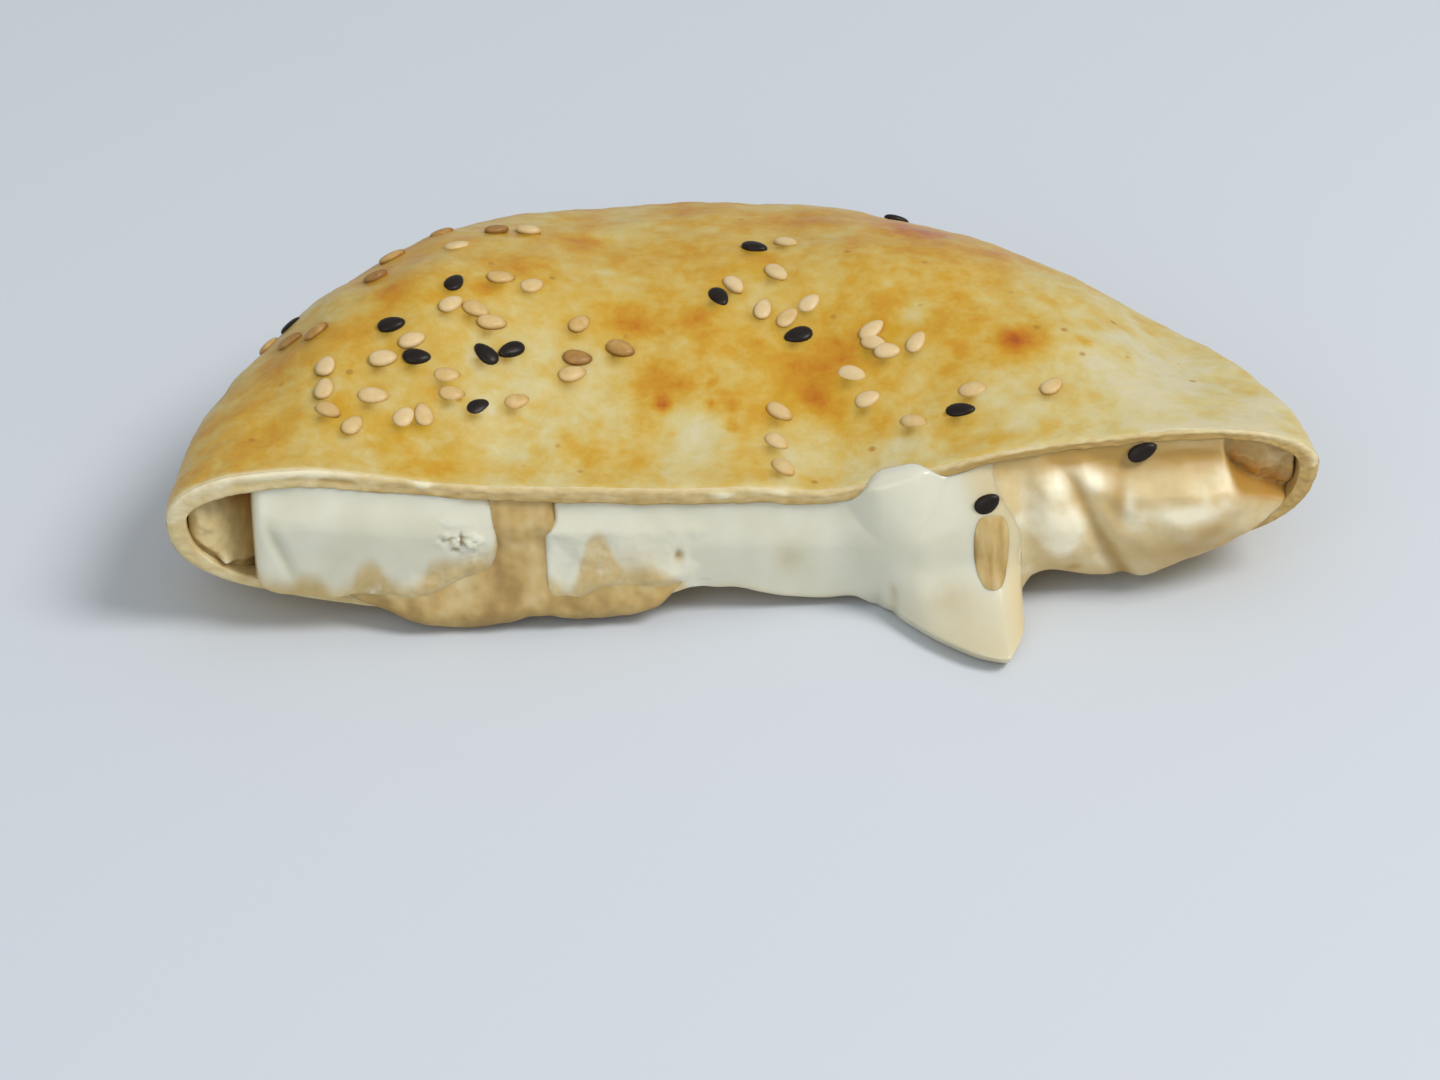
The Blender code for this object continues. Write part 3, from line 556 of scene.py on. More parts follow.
def makeBakedDough():
    material, tree, shader, coords = newMaterial(
        "bakedDough", 0.42, 0.3, 0.11, 0.22, 0.12, (1.0, 0.55, 0.25), 1.2 * mm,
    )
    mottle = rangeOf(tree, noiseOf(tree, coords, 430, 5, 0.65, distortion=0.25), 0.34, 0.66, -0.1, 0.1)
    broad = rangeOf(tree, noiseOf(tree, coords, 150, 4, distortion=0.2), 0.34, 0.66, -0.13, 0.13)
    # how baked, with the painted highlights and shade that the points carry
    bakeAndLightTone = calc(tree, "ADD", attributeOf(tree, "bakeAndLight"), calc(tree, "ADD", mottle, broad))
    skin = colourRamp(tree, bakeAndLightTone, [
        (0.0, 206, 194, 154),
        (0.18, 203, 186, 126),
        (0.36, 201, 170, 86),
        (0.52, 197, 152, 46),
        (0.68, 191, 133, 24),
        (0.84, 182, 106, 10),
        (1.0, 158, 76, 8),
    ])
    patchy = rangeOf(tree, noiseOf(tree, coords, 330, 3), 0.35, 0.62)
    pool = calc(tree, "MULTIPLY", attributeOf(tree, "egg"), patchy)
    skin = mixColour(tree, pool, skin, rgb(194, 150, 22))
    # painted shadow at each seed's lower left
    skin = mixColour(tree, attributeOf(tree, "seedShadow"), skin, rgb(150, 116, 30))
    # small darker dots in some of the cells
    cells = addNode(tree, "ShaderNodeTexVoronoi", {"Vector": coords, "Scale": 250})
    chosen = rangeOf(tree, cells.outputs["Color"], 0.44, 0.46)
    dots = calc(tree, "MULTIPLY", rangeOf(tree, cells.outputs["Distance"], 0.06, 0.13, 0.75, 0), chosen)
    skin = mixColour(tree, dots, skin, rgb(166, 116, 34))
    crumb = colourRamp(tree, unevenTone(tree, coords, "tan", 600, 4), [
        (0.0, 228, 217, 184), (0.5, 206, 185, 134), (1.0, 180, 148, 86),
    ])
    # the cut dough darkens with the painted shade deep in the pocket, and takes one golden spot
    crumb = mixColour(tree, attributeOf(tree, "deep"), crumb, rgb(162, 102, 22))
    raw = attributeOf(tree, "raw")
    gloss = rangeOf(tree, noiseOf(tree, coords, 90, 3), 0.35, 0.65, 0.34, 0.52)
    pits = addNode(tree, "ShaderNodeTexVoronoi", {"Vector": coords, "Scale": 900}, feature="SMOOTH_F1")
    normal = bumpFrom(tree, pits.outputs["Distance"], 0.25, 0.25 * mm)
    normal = bumpFrom(tree, noiseOf(tree, coords, 1800, 5, 0.7), 0.35, 0.12 * mm, normal)
    linkLooks(tree, shader, mixColour(tree, raw, skin, crumb), normal)
    tree.links.new(mixColour(tree, raw, gloss, (0.62, 0.62, 0.62, 1)), shader["Roughness"])
    return material


bakedDough = makeBakedDough()
makeCrust(bakedDough)

# Inside the pocket. The fold and the filling are moved into shape from cut-up cubes
cavity = {"clear": 0.1 * mm, "behindCut": 0.3 * mm, "behindWall": 2.4 * mm, "lipStart": -0.45 * mm}
creamTop = curveThrough(
    (-51, 7.4), (-46, 5.6), (-36, 4.6), (-30, 6.0), (-26, 6.8), (-19, 7.2), (-13, 6.0), (-9, 5.2), (-5, 4.8),
)


def ceiling(x, d):
    return roofHeight(x, max(d, 0.0) + cavity["behindCut"], 1) - cavity["clear"]


def ground(x, d):
    return baseHeight(x, max(d, 0.0) + cavity["behindCut"], 1) + cavity["clear"]


def backOf(x):
    return reach(x, 1) - cavity["behindWall"]


def edgeFall(e, radius):
    # how far a front face falls back at this distance from its rounded edge
    if e >= radius:
        return 0.0
    if e < 0:
        return radius - 1.5 * e
    return radius * (1 - math.sqrt(max(0.0, 1 - ((radius - e) / radius) ** 2)))


def softCorner(x, z, left, right, low, high, radius):
    # distance inward from the outline of a rounded rectangle
    halfWide, halfHigh = (right - left) / 2, (high - low) / 2
    px = abs(x - (left + right) / 2) - halfWide + radius
    pz = abs(z - (low + high) / 2) - halfHigh + radius
    if px > 0 and pz > 0:
        return radius - math.hypot(px, pz)
    return radius - max(px, pz)


def depthRow(piece, j, front, back):
    lip, rows = piece["lipRows"], piece["cells"][1]
    start = max(cavity["lipStart"], front + 0.3 * mm)
    if j <= lip:
        return mix(front, start, j / lip)
    share = (j - lip) / (rows - lip)
    return mix(start, back, 1 - math.cos(share * math.pi / 2))


# Fold of dough that closes the hollow at the left end
fold = {
    "cells": (44, 3, 60),
    "layer": 0.4 * mm,
    "right": -48.8 * mm,
    "sunk": 0.5 * mm,
    "groove": 0.5 * mm,
    "reachesBack": 6.5 * mm,
    "rough": 0.35 * mm,
    "nub": inMm(-53.7, 8.3),
    "hole": inMm(-54.5, 7.3),
    "nubHeight": 1.1 * mm,
}


def makeFold(material):
    bm, cells = cellBlock(fold["cells"])
    raw, deep, tan = addLayers(bm, "raw", "deep", "tan")
    left = -tip(-1, 1) + 0.2 * mm
    for vert, (across, j, up) in zip(bm.verts, cells):
        x = mix(left, fold["right"], across)
        z = mix(ground(x, 0) - fold["sunk"], ceiling(x, 0) + fold["sunk"], up)
        back = ramp(0.8 * across + 0.5 * up, 0.38, 1.25)
        edge = min(x - left, z - ground(x, 0))
        d = fold["groove"] + 0.9 * mm * (rampMm(edge, 1.2, 0) + across) + fold["reachesBack"] * back
        d += fold["rough"] * wave(x, 0.3, z, 2.4, 3)
        nub, hole = spot(x, z, fold["nub"], 0.75 * mm), spot(x, z, fold["hole"], 0.7 * mm)
        d += fold["nubHeight"] * (hole - nub)
        vert[raw] = 1.0
        # painted shadow in the hole under the nub, a painted highlight on the nub, and painted shade deeper
        # in the hollow
        vert[tan] = 0.55 + 0.6 * ramp(across + 0.25 * up, 0.45, 1.0) + 0.5 * hole - 0.4 * nub
        vert[tan] += 0.3 * rampMm(edge, 0.7, 0)
        vert[deep] = ramp(across * 0.6 + up * 0.75, 0.68, 1.1)
        vert.co = (x, cutY + d + j * fold["layer"], z)
    finishPiece("dough_fold", bm, material, "crust")


makeFold(bakedDough)

# Tan cream
cream = {
    "cells": (170, 16, 40),
    "lipRows": 4,
    "left": -49.5 * mm,
    "right": -4.8 * mm,
    "strand": inMm(-26.4, -19.8),
    "hangs": inMm(-43.5, -31.5, -9.5, -3.5),
    "bulge": curveThrough((0, 1.5), (2.4, 2.5), (5, 1.7), (7.5, 0.8), (10, 0.35), (18, 0.3)),
    "setBack": 0.7 * mm,
    "lumps": 0.30 * mm,
    "fine": 0.10 * mm,
    "behindWhite": 1.8 * mm,
    # painted shadows along the strand's sides and under the edges of the white cheese: x, z, half width,
    # half height in mm
    "paintedShadows": ((-25.6, 11, 0.5, 6), (-20.1, 11, 0.45, 6), (-24.6, 5.5, 1.2, 2.2), (-18.6, 3.4, 1.6, 1)),
}


def creamFront(x, z):
    below = rampMm(ceiling(x, 0) - z, 0, 3)
    lumps = cream["lumps"] * wave(x, 0.7, z * 0.7, 3.2, 2)
    lumps += cream["fine"] * wave(x, 0.2, z, 1.3, 2)
    flat = mix(cream["setBack"], cavity["lipStart"] - 0.1 * mm, below)
    return flat - plateau(x, *cream["hangs"]) * cream["bulge"](z) - lumps * below


def makeCreamFilling(material):
    bm, cells = cellBlock(cream["cells"])
    [shade] = addLayers(bm, "shade")
    strandLeft, strandRight = cream["strand"]
    for vert, (across, j, up) in zip(bm.verts, cells):
        x = mix(cream["left"], cream["right"], across)
        inStrand = strandLeft <= x <= strandRight
        back = backOf(x) if inStrand else 0.88 * reach(x, 1)
        low = mix(ground(x, 0), underEdge(x), plateau(x, *cream["hangs"]))
        # above the layer it lies well behind the white cheese
        outside = ramp(x, strandLeft + 0.3 * mm, strandLeft - 0.8 * mm)
        outside = max(outside, ramp(x, strandRight - 0.3 * mm, strandRight + 0.9 * mm))
        high = mix(ceiling(x, 0) + 0.2 * mm, min(ceiling(x, 0) - 1 * mm, creamTop(x) + 4 * mm), outside)
        z = mix(low, high, up)
        hidden = cream["behindWhite"] * outside * rampMm(z - creamTop(x), 1.6, 3.6)
        front = creamFront(x, z) + hidden
        d = depthRow(cream, j, front + edgeFall(z - low, 1.0 * mm), max(back, front))
        if j > cream["lipRows"]:
            top = ceiling(x, d) if inStrand else max(creamTop(x), ground(x, d) + 0.4 * mm)
            z = mix(ground(x, d), top, up)
        vert[shade] = 0.45 + 0.4 * wave(x, 0.3, z * 0.6, 3.4, 2) - 0.35 * rampMm(z - low, 3.0, 0)
        # painted shadows darken the cream along the strand and under the white cheese
        vert[shade] += 0.25 * wave(x, 0.8, z, 1.5, 2) - 0.35 * ovals(x, z, cream["paintedShadows"])
        vert.co = (x, cutY + d, z)
    finishPiece("cream_layer", bm, material, "cream_filling")


def makeTanCream():
    material, tree, shader, coords = newMaterial(
        "tanCream", 0.46, 0.36, 0.12, 0.3, 0.35, (1.0, 0.6, 0.35), 1.5 * mm,
    )
    colour = colourRamp(tree, unevenTone(tree, coords, "shade", 420), [
        (0.0, 158, 128, 72), (0.45, 187, 158, 98), (1.0, 208, 188, 142),
    ])
    normal = bumpFrom(tree, noiseOf(tree, coords, 700, 4, 0.6), 0.35, 0.2 * mm)
    linkLooks(tree, shader, colour, normal)
    return material


tanCream = makeTanCream()
makeCreamFilling(tanCream)

# White cheese slab
slab = {
    "cells": (110, 18, 70),
    "lipRows": 5,
    "left": -50.6 * mm,
    "right": -25.4 * mm,
    "corners": inMm(0.9, 1.7),
    "edgeRadius": 1.2 * mm,
    "over": 0.1 * mm,
    # how far the face is set back at its top, stands out below, and bellies out
    "setBack": 0.45 * mm,
    "standsOut": 1.7 * mm,
    "belly": 0.35 * mm,
    # height where the white turns into the cream below it, and where its melted skin ends
    "fringe": curveThrough(
        (-50.6, 7.4), (-49, 6.6), (-47.4, 6.0), (-45.6, 7.0), (-44.2, 6.6), (-42.6, 5.2), (-41.1, 5.8),
        (-39.9, 7.8), (-38.9, 8.6), (-37.9, 7.8), (-36.6, 6.0), (-35, 5.3), (-33.6, 6.2), (-32.4, 8.0),
        (-30, 8.2), (-28, 8.4), (-25.4, 9.3),
    ),
    "skinEnd": curveThrough(
        (-50.6, 5.4), (-49, 4.5), (-47.5, 4.1), (-45.5, 3.9), (-43, 3.4), (-40, 3.9), (-37, 3.6), (-34, 3.6),
        (-30, 5.0), (-25.7, 6.2),
    ),
    "blend": 2.6 * mm,
    "crumbly": ((-31.0, 11.0, 0.8, 0.7), (-29.5, 10.7, 0.9, 0.9), (-28.3, 10.2, 1.0, 1.2)),
    "pits": ((-30.8, 10.9, 0.5, 0.35), (-29.3, 10.9, 0.35, 0.6), (-29.9, 9.7, 0.4, 0.3)),
    "pitDepth": 0.7 * mm,
    "crumb": (-28.1, 10.6, 0.9, 0.8),
    "crumbHeight": 0.35 * mm,
    "crease": (inMm(-48.9, 13.4), inMm(-46.9, 7.8)),
    "creaseDepth": 0.3 * mm,
}


def nearLine(x, z, ends, width):
    # 1 on a short line, 0 away from it
    (x0, z0), (x1, z1) = ends
    share = ((x - x0) * (x1 - x0) + (z - z0) * (z1 - z0)) / ((x1 - x0) ** 2 + (z1 - z0) ** 2)
    share = min(max(share, 0.0), 1.0)
    away = math.hypot(x - mix(x0, x1, share), z - mix(z0, z1, share))
    return ramp(away, width, 0.0) * math.sin(math.pi * mix(0.15, 0.85, share))


def overCream(x, z, low, front):
    # the white lies over the cream, and its skin runs out smoothly in it
    skin = creamFront(x, z) + mix(0.15 * mm, -0.2 * mm, rampMm(z - low, 0, 2.4))
    face = min(front, skin) if z - low > 1 * mm else skin
    return mix(face, front, rampMm(ceiling(x, 0) - z, 3.5, 0.5))


def fringeTan(piece, x, z):
    # 0 in the white, 1 in the tan below its fringe
    edge = piece["fringe"](x) + 0.3 * mm * wave(x, 0.9, 0, 1.8, 2)
    return ramp(z - edge, 0.6 * piece["blend"], -0.4 * piece["blend"])


def makeSlab(material):
    bm, cells = cellBlock(slab["cells"])
    tan, shade = addLayers(bm, "tan", "shade")
    left, right = slab["left"], slab["right"]
    relief = []
    for vert, (across, j, up) in zip(bm.verts, cells):
        x = mix(left, right, across)
        low, high = slab["skinEnd"](x), ceiling(x, 0) + slab["over"]
        z = mix(low, high, up)
        corner = slab["corners"][int(across > 0.5)]
        onCream = ramp(x, *cream["hangs"][:2])
        inward = softCorner(x, z, left, right, low - 4 * mm * onCream, high + 1.2 * mm, corner + 1.2 * mm)
        front = slab["setBack"] - slab["standsOut"] * rampMm(high - z, -0.3, 4.5)
        front = overCream(x, z, low, front - slab["belly"] * math.sin(math.pi * across))
        pit, crumbly = ovals(x, z, slab["pits"]), ovals(x, z, slab["crumbly"])
        front += slab["pitDepth"] * pit - slab["crumbHeight"] * oval(x, z, slab["crumb"])
        front += slab["creaseDepth"] * nearLine(x, z, slab["crease"], 1.3 * mm)
        front += edgeFall(inward, slab["edgeRadius"])
        vert[tan] = fringeTan(slab, x, z)
        d = depthRow(slab, j, front, backOf(x))
        if j > slab["lipRows"]:
            z = mix(max(creamTop(x), ground(x, d)), ceiling(x, d), up)
        # cream also tints its upper right corner, both its sides, and its pits
        vert[tan] += 0.6 * rampMm(z - (high - 1.2 * mm), 0, 1.2) * ramp(x, right - 6 * mm, right)
        vert[tan] += 0.7 * rampMm(right - x, 1.0, 0) + 0.4 * rampMm(x - left, 0.6, 0) + 0.5 * pit
        # painted shade along the crease
        vert[shade] = 0.6 + 0.35 * wave(x, d, z, 6, 2) - 0.5 * nearLine(x, z, slab["crease"], 0.9 * mm)
        # painted highlights and shade among the crumbs of the crumbly patch
        vert[shade] += 0.9 * crumbly * wave(x, 0.5, z, 0.7, 3)
        rough = crumbly * (0.10 * mm + 0.5 * mm * wave(x, 0.5, z, 0.8, 3))
        relief.append(rough + 0.10 * mm * wave(x, 0, z, 4, 2) if j == 0 else 0.0)
        vert.co = (x, cutY + d, z)
    pushOut(bm, relief)
    finishPiece("slab_of_cheese", bm, material, "cheese_slab")


def makeWhiteCheese():
    material, tree, shader, coords = newMaterial(
        "whiteCheese", 0.3, 0.5, 0.3, 0.18, 0.5, (1.0, 0.85, 0.6), 2.0 * mm,
    )
    colour = colourRamp(tree, unevenTone(tree, coords, "shade", 200), [
        (0.0, 184, 182, 154), (0.4, 206, 203, 180), (1.0, 220, 217, 200),
    ])
    colour = mixColour(tree, attributeOf(tree, "warm"), colour, rgb(211, 195, 155))
    patchy = rangeOf(tree, noiseOf(tree, coords, 420, 3), 0.1, 0.45)
    tinted = calc(tree, "MULTIPLY", attributeOf(tree, "tan"), patchy)
    tans = [(0.3, 178, 152, 96), (0.7, 203, 181, 130)]
    colour = mixColour(tree, tinted, colour, colourRamp(tree, noiseOf(tree, coords, 330, 3), tans))
    normal = bumpFrom(tree, noiseOf(tree, coords, 500, 3, 0.5), 0.12, 0.2 * mm)
    linkLooks(tree, shader, colour, normal)
    return material


whiteCheese = makeWhiteCheese()
makeSlab(whiteCheese)

# Melted cheese
melt = {
    "cells": (230, 22, 90),
    "lipRows": 8,
    "left": -19.7 * mm,
    "leftLobe": 1.2 * mm,
    "right": 28.9 * mm,
    # its columns are closer right of here, where this share of them is past
    "fineFrom": (20 * mm, 0.68),
    "blend": 2.0 * mm,
    "fringe": curveThrough(
        (-21, 6.6), (-19.6, 5.2), (-18.4, 4.6), (-17.6, 5.4), (-16.9, 7.8), (-16.2, 9.6), (-15.3, 10.2),
        (-14.4, 9.6), (-13.7, 8.0), (-13.1, 6.8), (-12.2, 6.4), (-10.5, 6.5), (-8.8, 6.0), (-7.5, 5.0),
        (-6, 3.4), (-4, 0.5), (0, -4),
    ),
    "skinEnd": curveThrough(
        (-20, 4.0), (-18.5, 3.0), (-17, 3.0), (-15.5, 3.6), (-13, 3.9), (-10.5, 3.7), (-8.5, 3.5),
        (-6.5, 3.5), (-4.5, 3.4), (-2.5, 3.2),
    ),
    "out": inMm(-0.4, 0.95),
    "swell": inMm(9, 19, 25, 30),
    "swellDepth": 3.5 * mm,
    "swellTop": 15.5 * mm,
    # the tongue starts, is full, starts to round off, and ends at these places along the cut, and a share of
    # it runs on to the right
    "tongue": inMm(14.0, 26.0, 26.2, 28.9),
    "runsOn": (0.3, 1.5 * mm),
    "tongueReach": 12.0 * mm,
    "tongueNose": 1.9 * mm,
    "tongueTop": 8.0 * mm,
    "pit": (-6.9, 7.4, 0.45, 0.65),
    "pitDepth": 0.6 * mm,
    "stains": ((4.7, 6.4, 1.3, 1.8), (-11.5, 7.6, 2.4, 1.2), (21, 4.5, 3, 1.5)),
    "tanBelow": inMm(-5, -2, 10, 14),
    # where it laps over the crust's edge, where its face is full for that, and how the lap leans back
    "lap": inMm(10.8, 14.6, 17.0, 21.6),
    "lapFlows": inMm(10, 14.4, 17, 22),
    "lapRise": 2.7 * mm,
    "lapLean": (0.95, 0.42),
    "seam": inMm(28.5, 2.6),
    "seamSunk": 0.12 * mm,
    "offFloor": 0.05 * mm,
}


def tongueShare(x):
    # its left side runs out slantwise, its right side straight
    start, full, rounds, end = melt["tongue"]
    rest, fades = melt["runsOn"]
    rising = 1 - (1 - min(max(0.0, x - start) / (full - start), 1.0)) ** 1.6
    past = max(0.0, x - rounds)
    return rising * mix(rounded(past / (end - rounds), 2.8), math.exp(-past / fades), rest)


def seam(z):
    # where the stretched cream starts, further left at the top
    right, leans = melt["seam"]
    return right - leans * rampMm(z, 9.5, 15) + 0.4 * mm * wave(0, 0.4, z, 2.5, 2)


def slanted(x, z):
    return x + 0.35 * (z - 8 * mm)


def meltFront(x, z):
    start, full, fades, end = melt["swell"]
    belly = ramp(x, start, full) * mix(1.0, 0.5, ramp(x, fades, end)) * melt["swellDepth"]
    lapped = plateau(x, *melt["lapFlows"])
    front = -mix(*melt["out"], max(rampMm(ceiling(x, 0) - z, -0.5, 5), lapped))
    front -= belly * math.sin(math.pi * min(1.0, max(z, 0.0) / melt["swellTop"]) ** 0.8)
    nose, top = melt["tongueNose"], melt["tongueTop"]
    slide = (1 - min(max((z - nose) / (top - nose), 0.0), 1.0)) ** 2.2
    out = tongueShare(x) * melt["tongueReach"]
    return front - out * slide + min(1.0, out / mm) * edgeFall(z, 1.0 * mm)


def makeMelt(material):
    bm, cells = cellBlock(melt["cells"])
    tan, shade, warm = addLayers(bm, "tan", "shade", "warm")
    left, right, lip = melt["left"], melt["right"], melt["lipRows"]
    fineFrom, coarse = melt["fineFrom"]
    leansBack, leansUp = melt["lapLean"]
    relief = []
    for vert, (across, j, up) in zip(bm.verts, cells):
        x = mix(left, fineFrom, across / coarse)
        if across > coarse:
            x = mix(fineFrom, right, (across - coarse) / (1 - coarse))
        low = mix(melt["skinEnd"](x), underEdge(x), rampMm(x, -4, 0))
        lapped = plateau(x, *melt["lap"])
        rise = lapped * melt["lapRise"] * (1 + 0.06 * wave(x, 0, 0, 2.5, 2))
        high = ceiling(x, 0) - 0.05 * mm + rise
        tongue = tongueShare(x)
        z = mix(low, high, up ** (1 + 0.9 * tongue))
        lobe = melt["leftLobe"] * rampMm(z, 12.2, 10.4)
        x -= lobe * ramp(x, left + 5 * mm, left)
        still = rampMm(x, 27, 24)
        front = meltFront(x, z) - 0.08 * mm * wave(x, 0, z * 0.35, 7, 2) * still
        inward = z - low + 0.3 * mm
        if x < 0:
            inward = softCorner(x, z, left - lobe, 60 * mm, low - 3 * mm, high + 3 * mm, 1.0 * mm)
            front = mix(front, overCream(x, z, low, front), rampMm(x, -3, -6))
        pit = oval(x, z, melt["pit"])
        front += melt["pitDepth"] * pit + edgeFall(inward, 0.6 * mm) * (1 - tongue)
        front += lapped * edgeFall(high - z + 0.1 * mm, 0.6 * mm)
        # the right edge sinks behind the stretched cream
        front += melt["seamSunk"] * rampMm(x - seam(z), -0.9, 0.9)
        vert[tan] = fringeTan(melt, x, z)
        d = depthRow(melt, j, front, backOf(x))
        if j <= lip and z > ceiling(x, 0):
            over = max(0.0, z - topEdge(x) + 0.1 * mm)
            d = mix(front, 0.25 * mm, j / lip) + leansBack * over
            z -= (1 - leansUp) * over
        if j > lip:
            bottom = max(creamTop(x), ground(x, d)) if x < -2.6 * mm else ground(x, d)
            z = mix(bottom, ceiling(x, d), up)
        # cream shines through along its edges and at the tongue's hem
        hem = spot(tongue, 0, (0.17, 0), 0.05) * rampMm(z, 5, 3.5) * rampMm(x, 27, 25)
        vert[tan] += pit + 0.35 * ovals(x, z, melt["stains"]) + 0.25 * hem
        vert[tan] += 0.55 * rampMm(x - left + lobe, 0.7, 0)
        vert[tan] += 0.35 * rampMm(high - z, 0.7, 0) * rampMm(x, 8, 2)
        vert[tan] += 0.4 * rampMm(z - low, 0.9, 0) * plateau(x, *melt["tanBelow"])
        vert[tan] += 0.35 * rampMm(slanted(x, z), 26.5, 29.5) * rampMm(z, 9, 13)
        thin = tongue * rampMm(z, 6, 1.5)
        vert[warm] = rampMm(slanted(x, z), 23.8, 27.2) + 0.6 * thin
        # painted shade along the tongue's hem and over its thin part
        vert[shade] = 0.62 + 0.3 * wave(x, d * 0.4, z * 0.5, 5, 2) - 0.4 * hem - 0.4 * thin
        flow = 0.07 * mm * wave(x, 0.1, z * 0.3, 4, 2) * still - 0.22 * mm * hem
        relief.append(flow if j <= lip else 0.0)
        vert.co = (x, cutY + d, max(z, melt["offFloor"]))
    pushOut(bm, relief)
    for vert in bm.verts:
        vert.co.z = max(vert.co.z, melt["offFloor"])
    finishPiece("melted_middle", bm, material, "melted_cheese")


makeMelt(whiteCheese)

# Stretched cream on the right
stretch = {
    "cells": (150, 20, 84),
    "lipRows": 8,
    "left": 28.9 * mm,
    "right": 57.9 * mm,
    "crease": (inMm(33.6, 15.4), inMm(40.2, 2.6)),
    "creaseDepth": 1.0 * mm,
    # a darker band lies under the roof, from this far below it at its left and right; it is partly the
    # cream's own tan and partly painted shade under the lip
    "bandFrom": inMm(1.3, 2.9),
    # how high its lower edge rises, where, and over which half width
    "notch": inMm(0.9, 32, 5),
    # lobes are x, z, half width, half height in mm, and how far they stand out
    "lobes": (
        (32.6, 9.6, 4.6, 5.5, 1.4), (45.6, 11.0, 6.5, 4.6, 1.9), (43.5, 6.0, 4.5, 4, 0.9),
        (50.5, 12.2, 4, 3, 0.6),
    ),
    # painted highlights, and one pale lump: x, z, half width and half height in mm
    "paleAndHighlights": (
        (31.4, 10.5, 2.4, 3.2), (34.4, 11, 1.0, 1.4), (36.6, 14.4, 1.2, 0.8), (39.9, 12.6, 0.6, 1.4),
        (45.8, 11.6, 5, 1.2), (32, 14, 3.5, 1.2), (33.5, 8, 2.5, 2), (55.4, 14.9, 1.2, 1.4),
    ),
    "brown": (
        (38.7, 13.4, 1.0, 3.5), (33.5, 16.6, 2, 0.7), (36.5, 17, 3.5, 0.8), (46.3, 16.2, 3, 0.7),
        (46, 6.4, 5, 1.9), (49, 9, 2, 1.2), (34.6, 4.4, 1.0, 0.6), (52.8, 13.6, 1.1, 0.9),
        (55.8, 12.2, 1.9, 0.9), (51.6, 16.0, 0.5, 1.6),
    ),
    "dark": ((53.4, 13.3, 1.5, 0.9), (56.0, 12.0, 1.9, 1.2), (51.6, 15.0, 0.8, 1.3)),
    # above this arc it lies further back, in the crust's right end
    "arc": curveThrough((49.6, 17.8), (50.3, 16.0), (50.9, 14.5), (52.1, 13.0), (54, 11.9), (57.6, 10.4)),
    "recess": 1.3 * mm,
    "knob": (55.4, 14.9, 1.3, 1.5),
    "knobHeight": 0.7 * mm,
}


def stretchFront(x, z):
    up = (z - underEdge(x)) / (ceiling(x, 0) - underEdge(x))
    (creaseX, creaseTop), (creaseEnd, creaseLow) = stretch["crease"]
    middle = mix(creaseEnd, creaseX, (z - creaseLow) / (creaseTop - creaseLow))
    middle += 0.3 * mm * wave(0, 0, z, 3, 2)
    crease = rampMm(abs(x - middle), 2.4, 0.0) ** 1.5 * ramp(up, 1.0, 0.8)
    rises = sum(height * mm * oval(x, z, lobe) for *lobe, height in stretch["lobes"])
    bulge = 0.9 * mm + 0.7 * mm * math.sin(math.pi * min(1.0, max(up, 0.0))) + rises
    bulge *= rampMm(x, 59, 49)
    bulge += 0.3 * mm * wave(x + 0.5 * z, 0.4, z, 4.5, 2)
    bandFrom = mix(*stretch["bandFrom"], rampMm(x, 34, 40)) + 0.4 * mm * wave(x, 0.6, 0, 4, 2)
    below = ceiling(x, 0) - z - bandFrom
    folded = cavity["lipStart"] - bulge + crease * stretch["creaseDepth"]
    front = mix(folded, 0.1 * mm, rampMm(below, 1.9, -1.2))
    overArc = z - stretch["arc"](x)
    above = rampMm(overArc, -0.3, 0.5) * rampMm(x, 49.8, 51.0)
    groove = spot(overArc, 0, (0.2 * mm, 0), 0.9 * mm) * rampMm(x, 50.0, 51.2)
    recess = stretch["recess"] + 0.45 * mm * wave(x, 0.5, z, 2.2, 3)
    recess -= stretch["knobHeight"] * oval(x, z, stretch["knob"])
    front = mix(front, recess, above) + 0.5 * mm * groove
    leftOne = meltFront(x, z) + melt["seamSunk"] * rampMm(x - seam(z), 0.9, -0.9)
    # the band under the roof: partly the cream's own tan, partly painted shade under the lip
    tinted = rampMm(below, 0.7, -0.5)
    return mix(leftOne, front, rampMm(x, 28.4, 31.5)), crease, tinted, groove, above


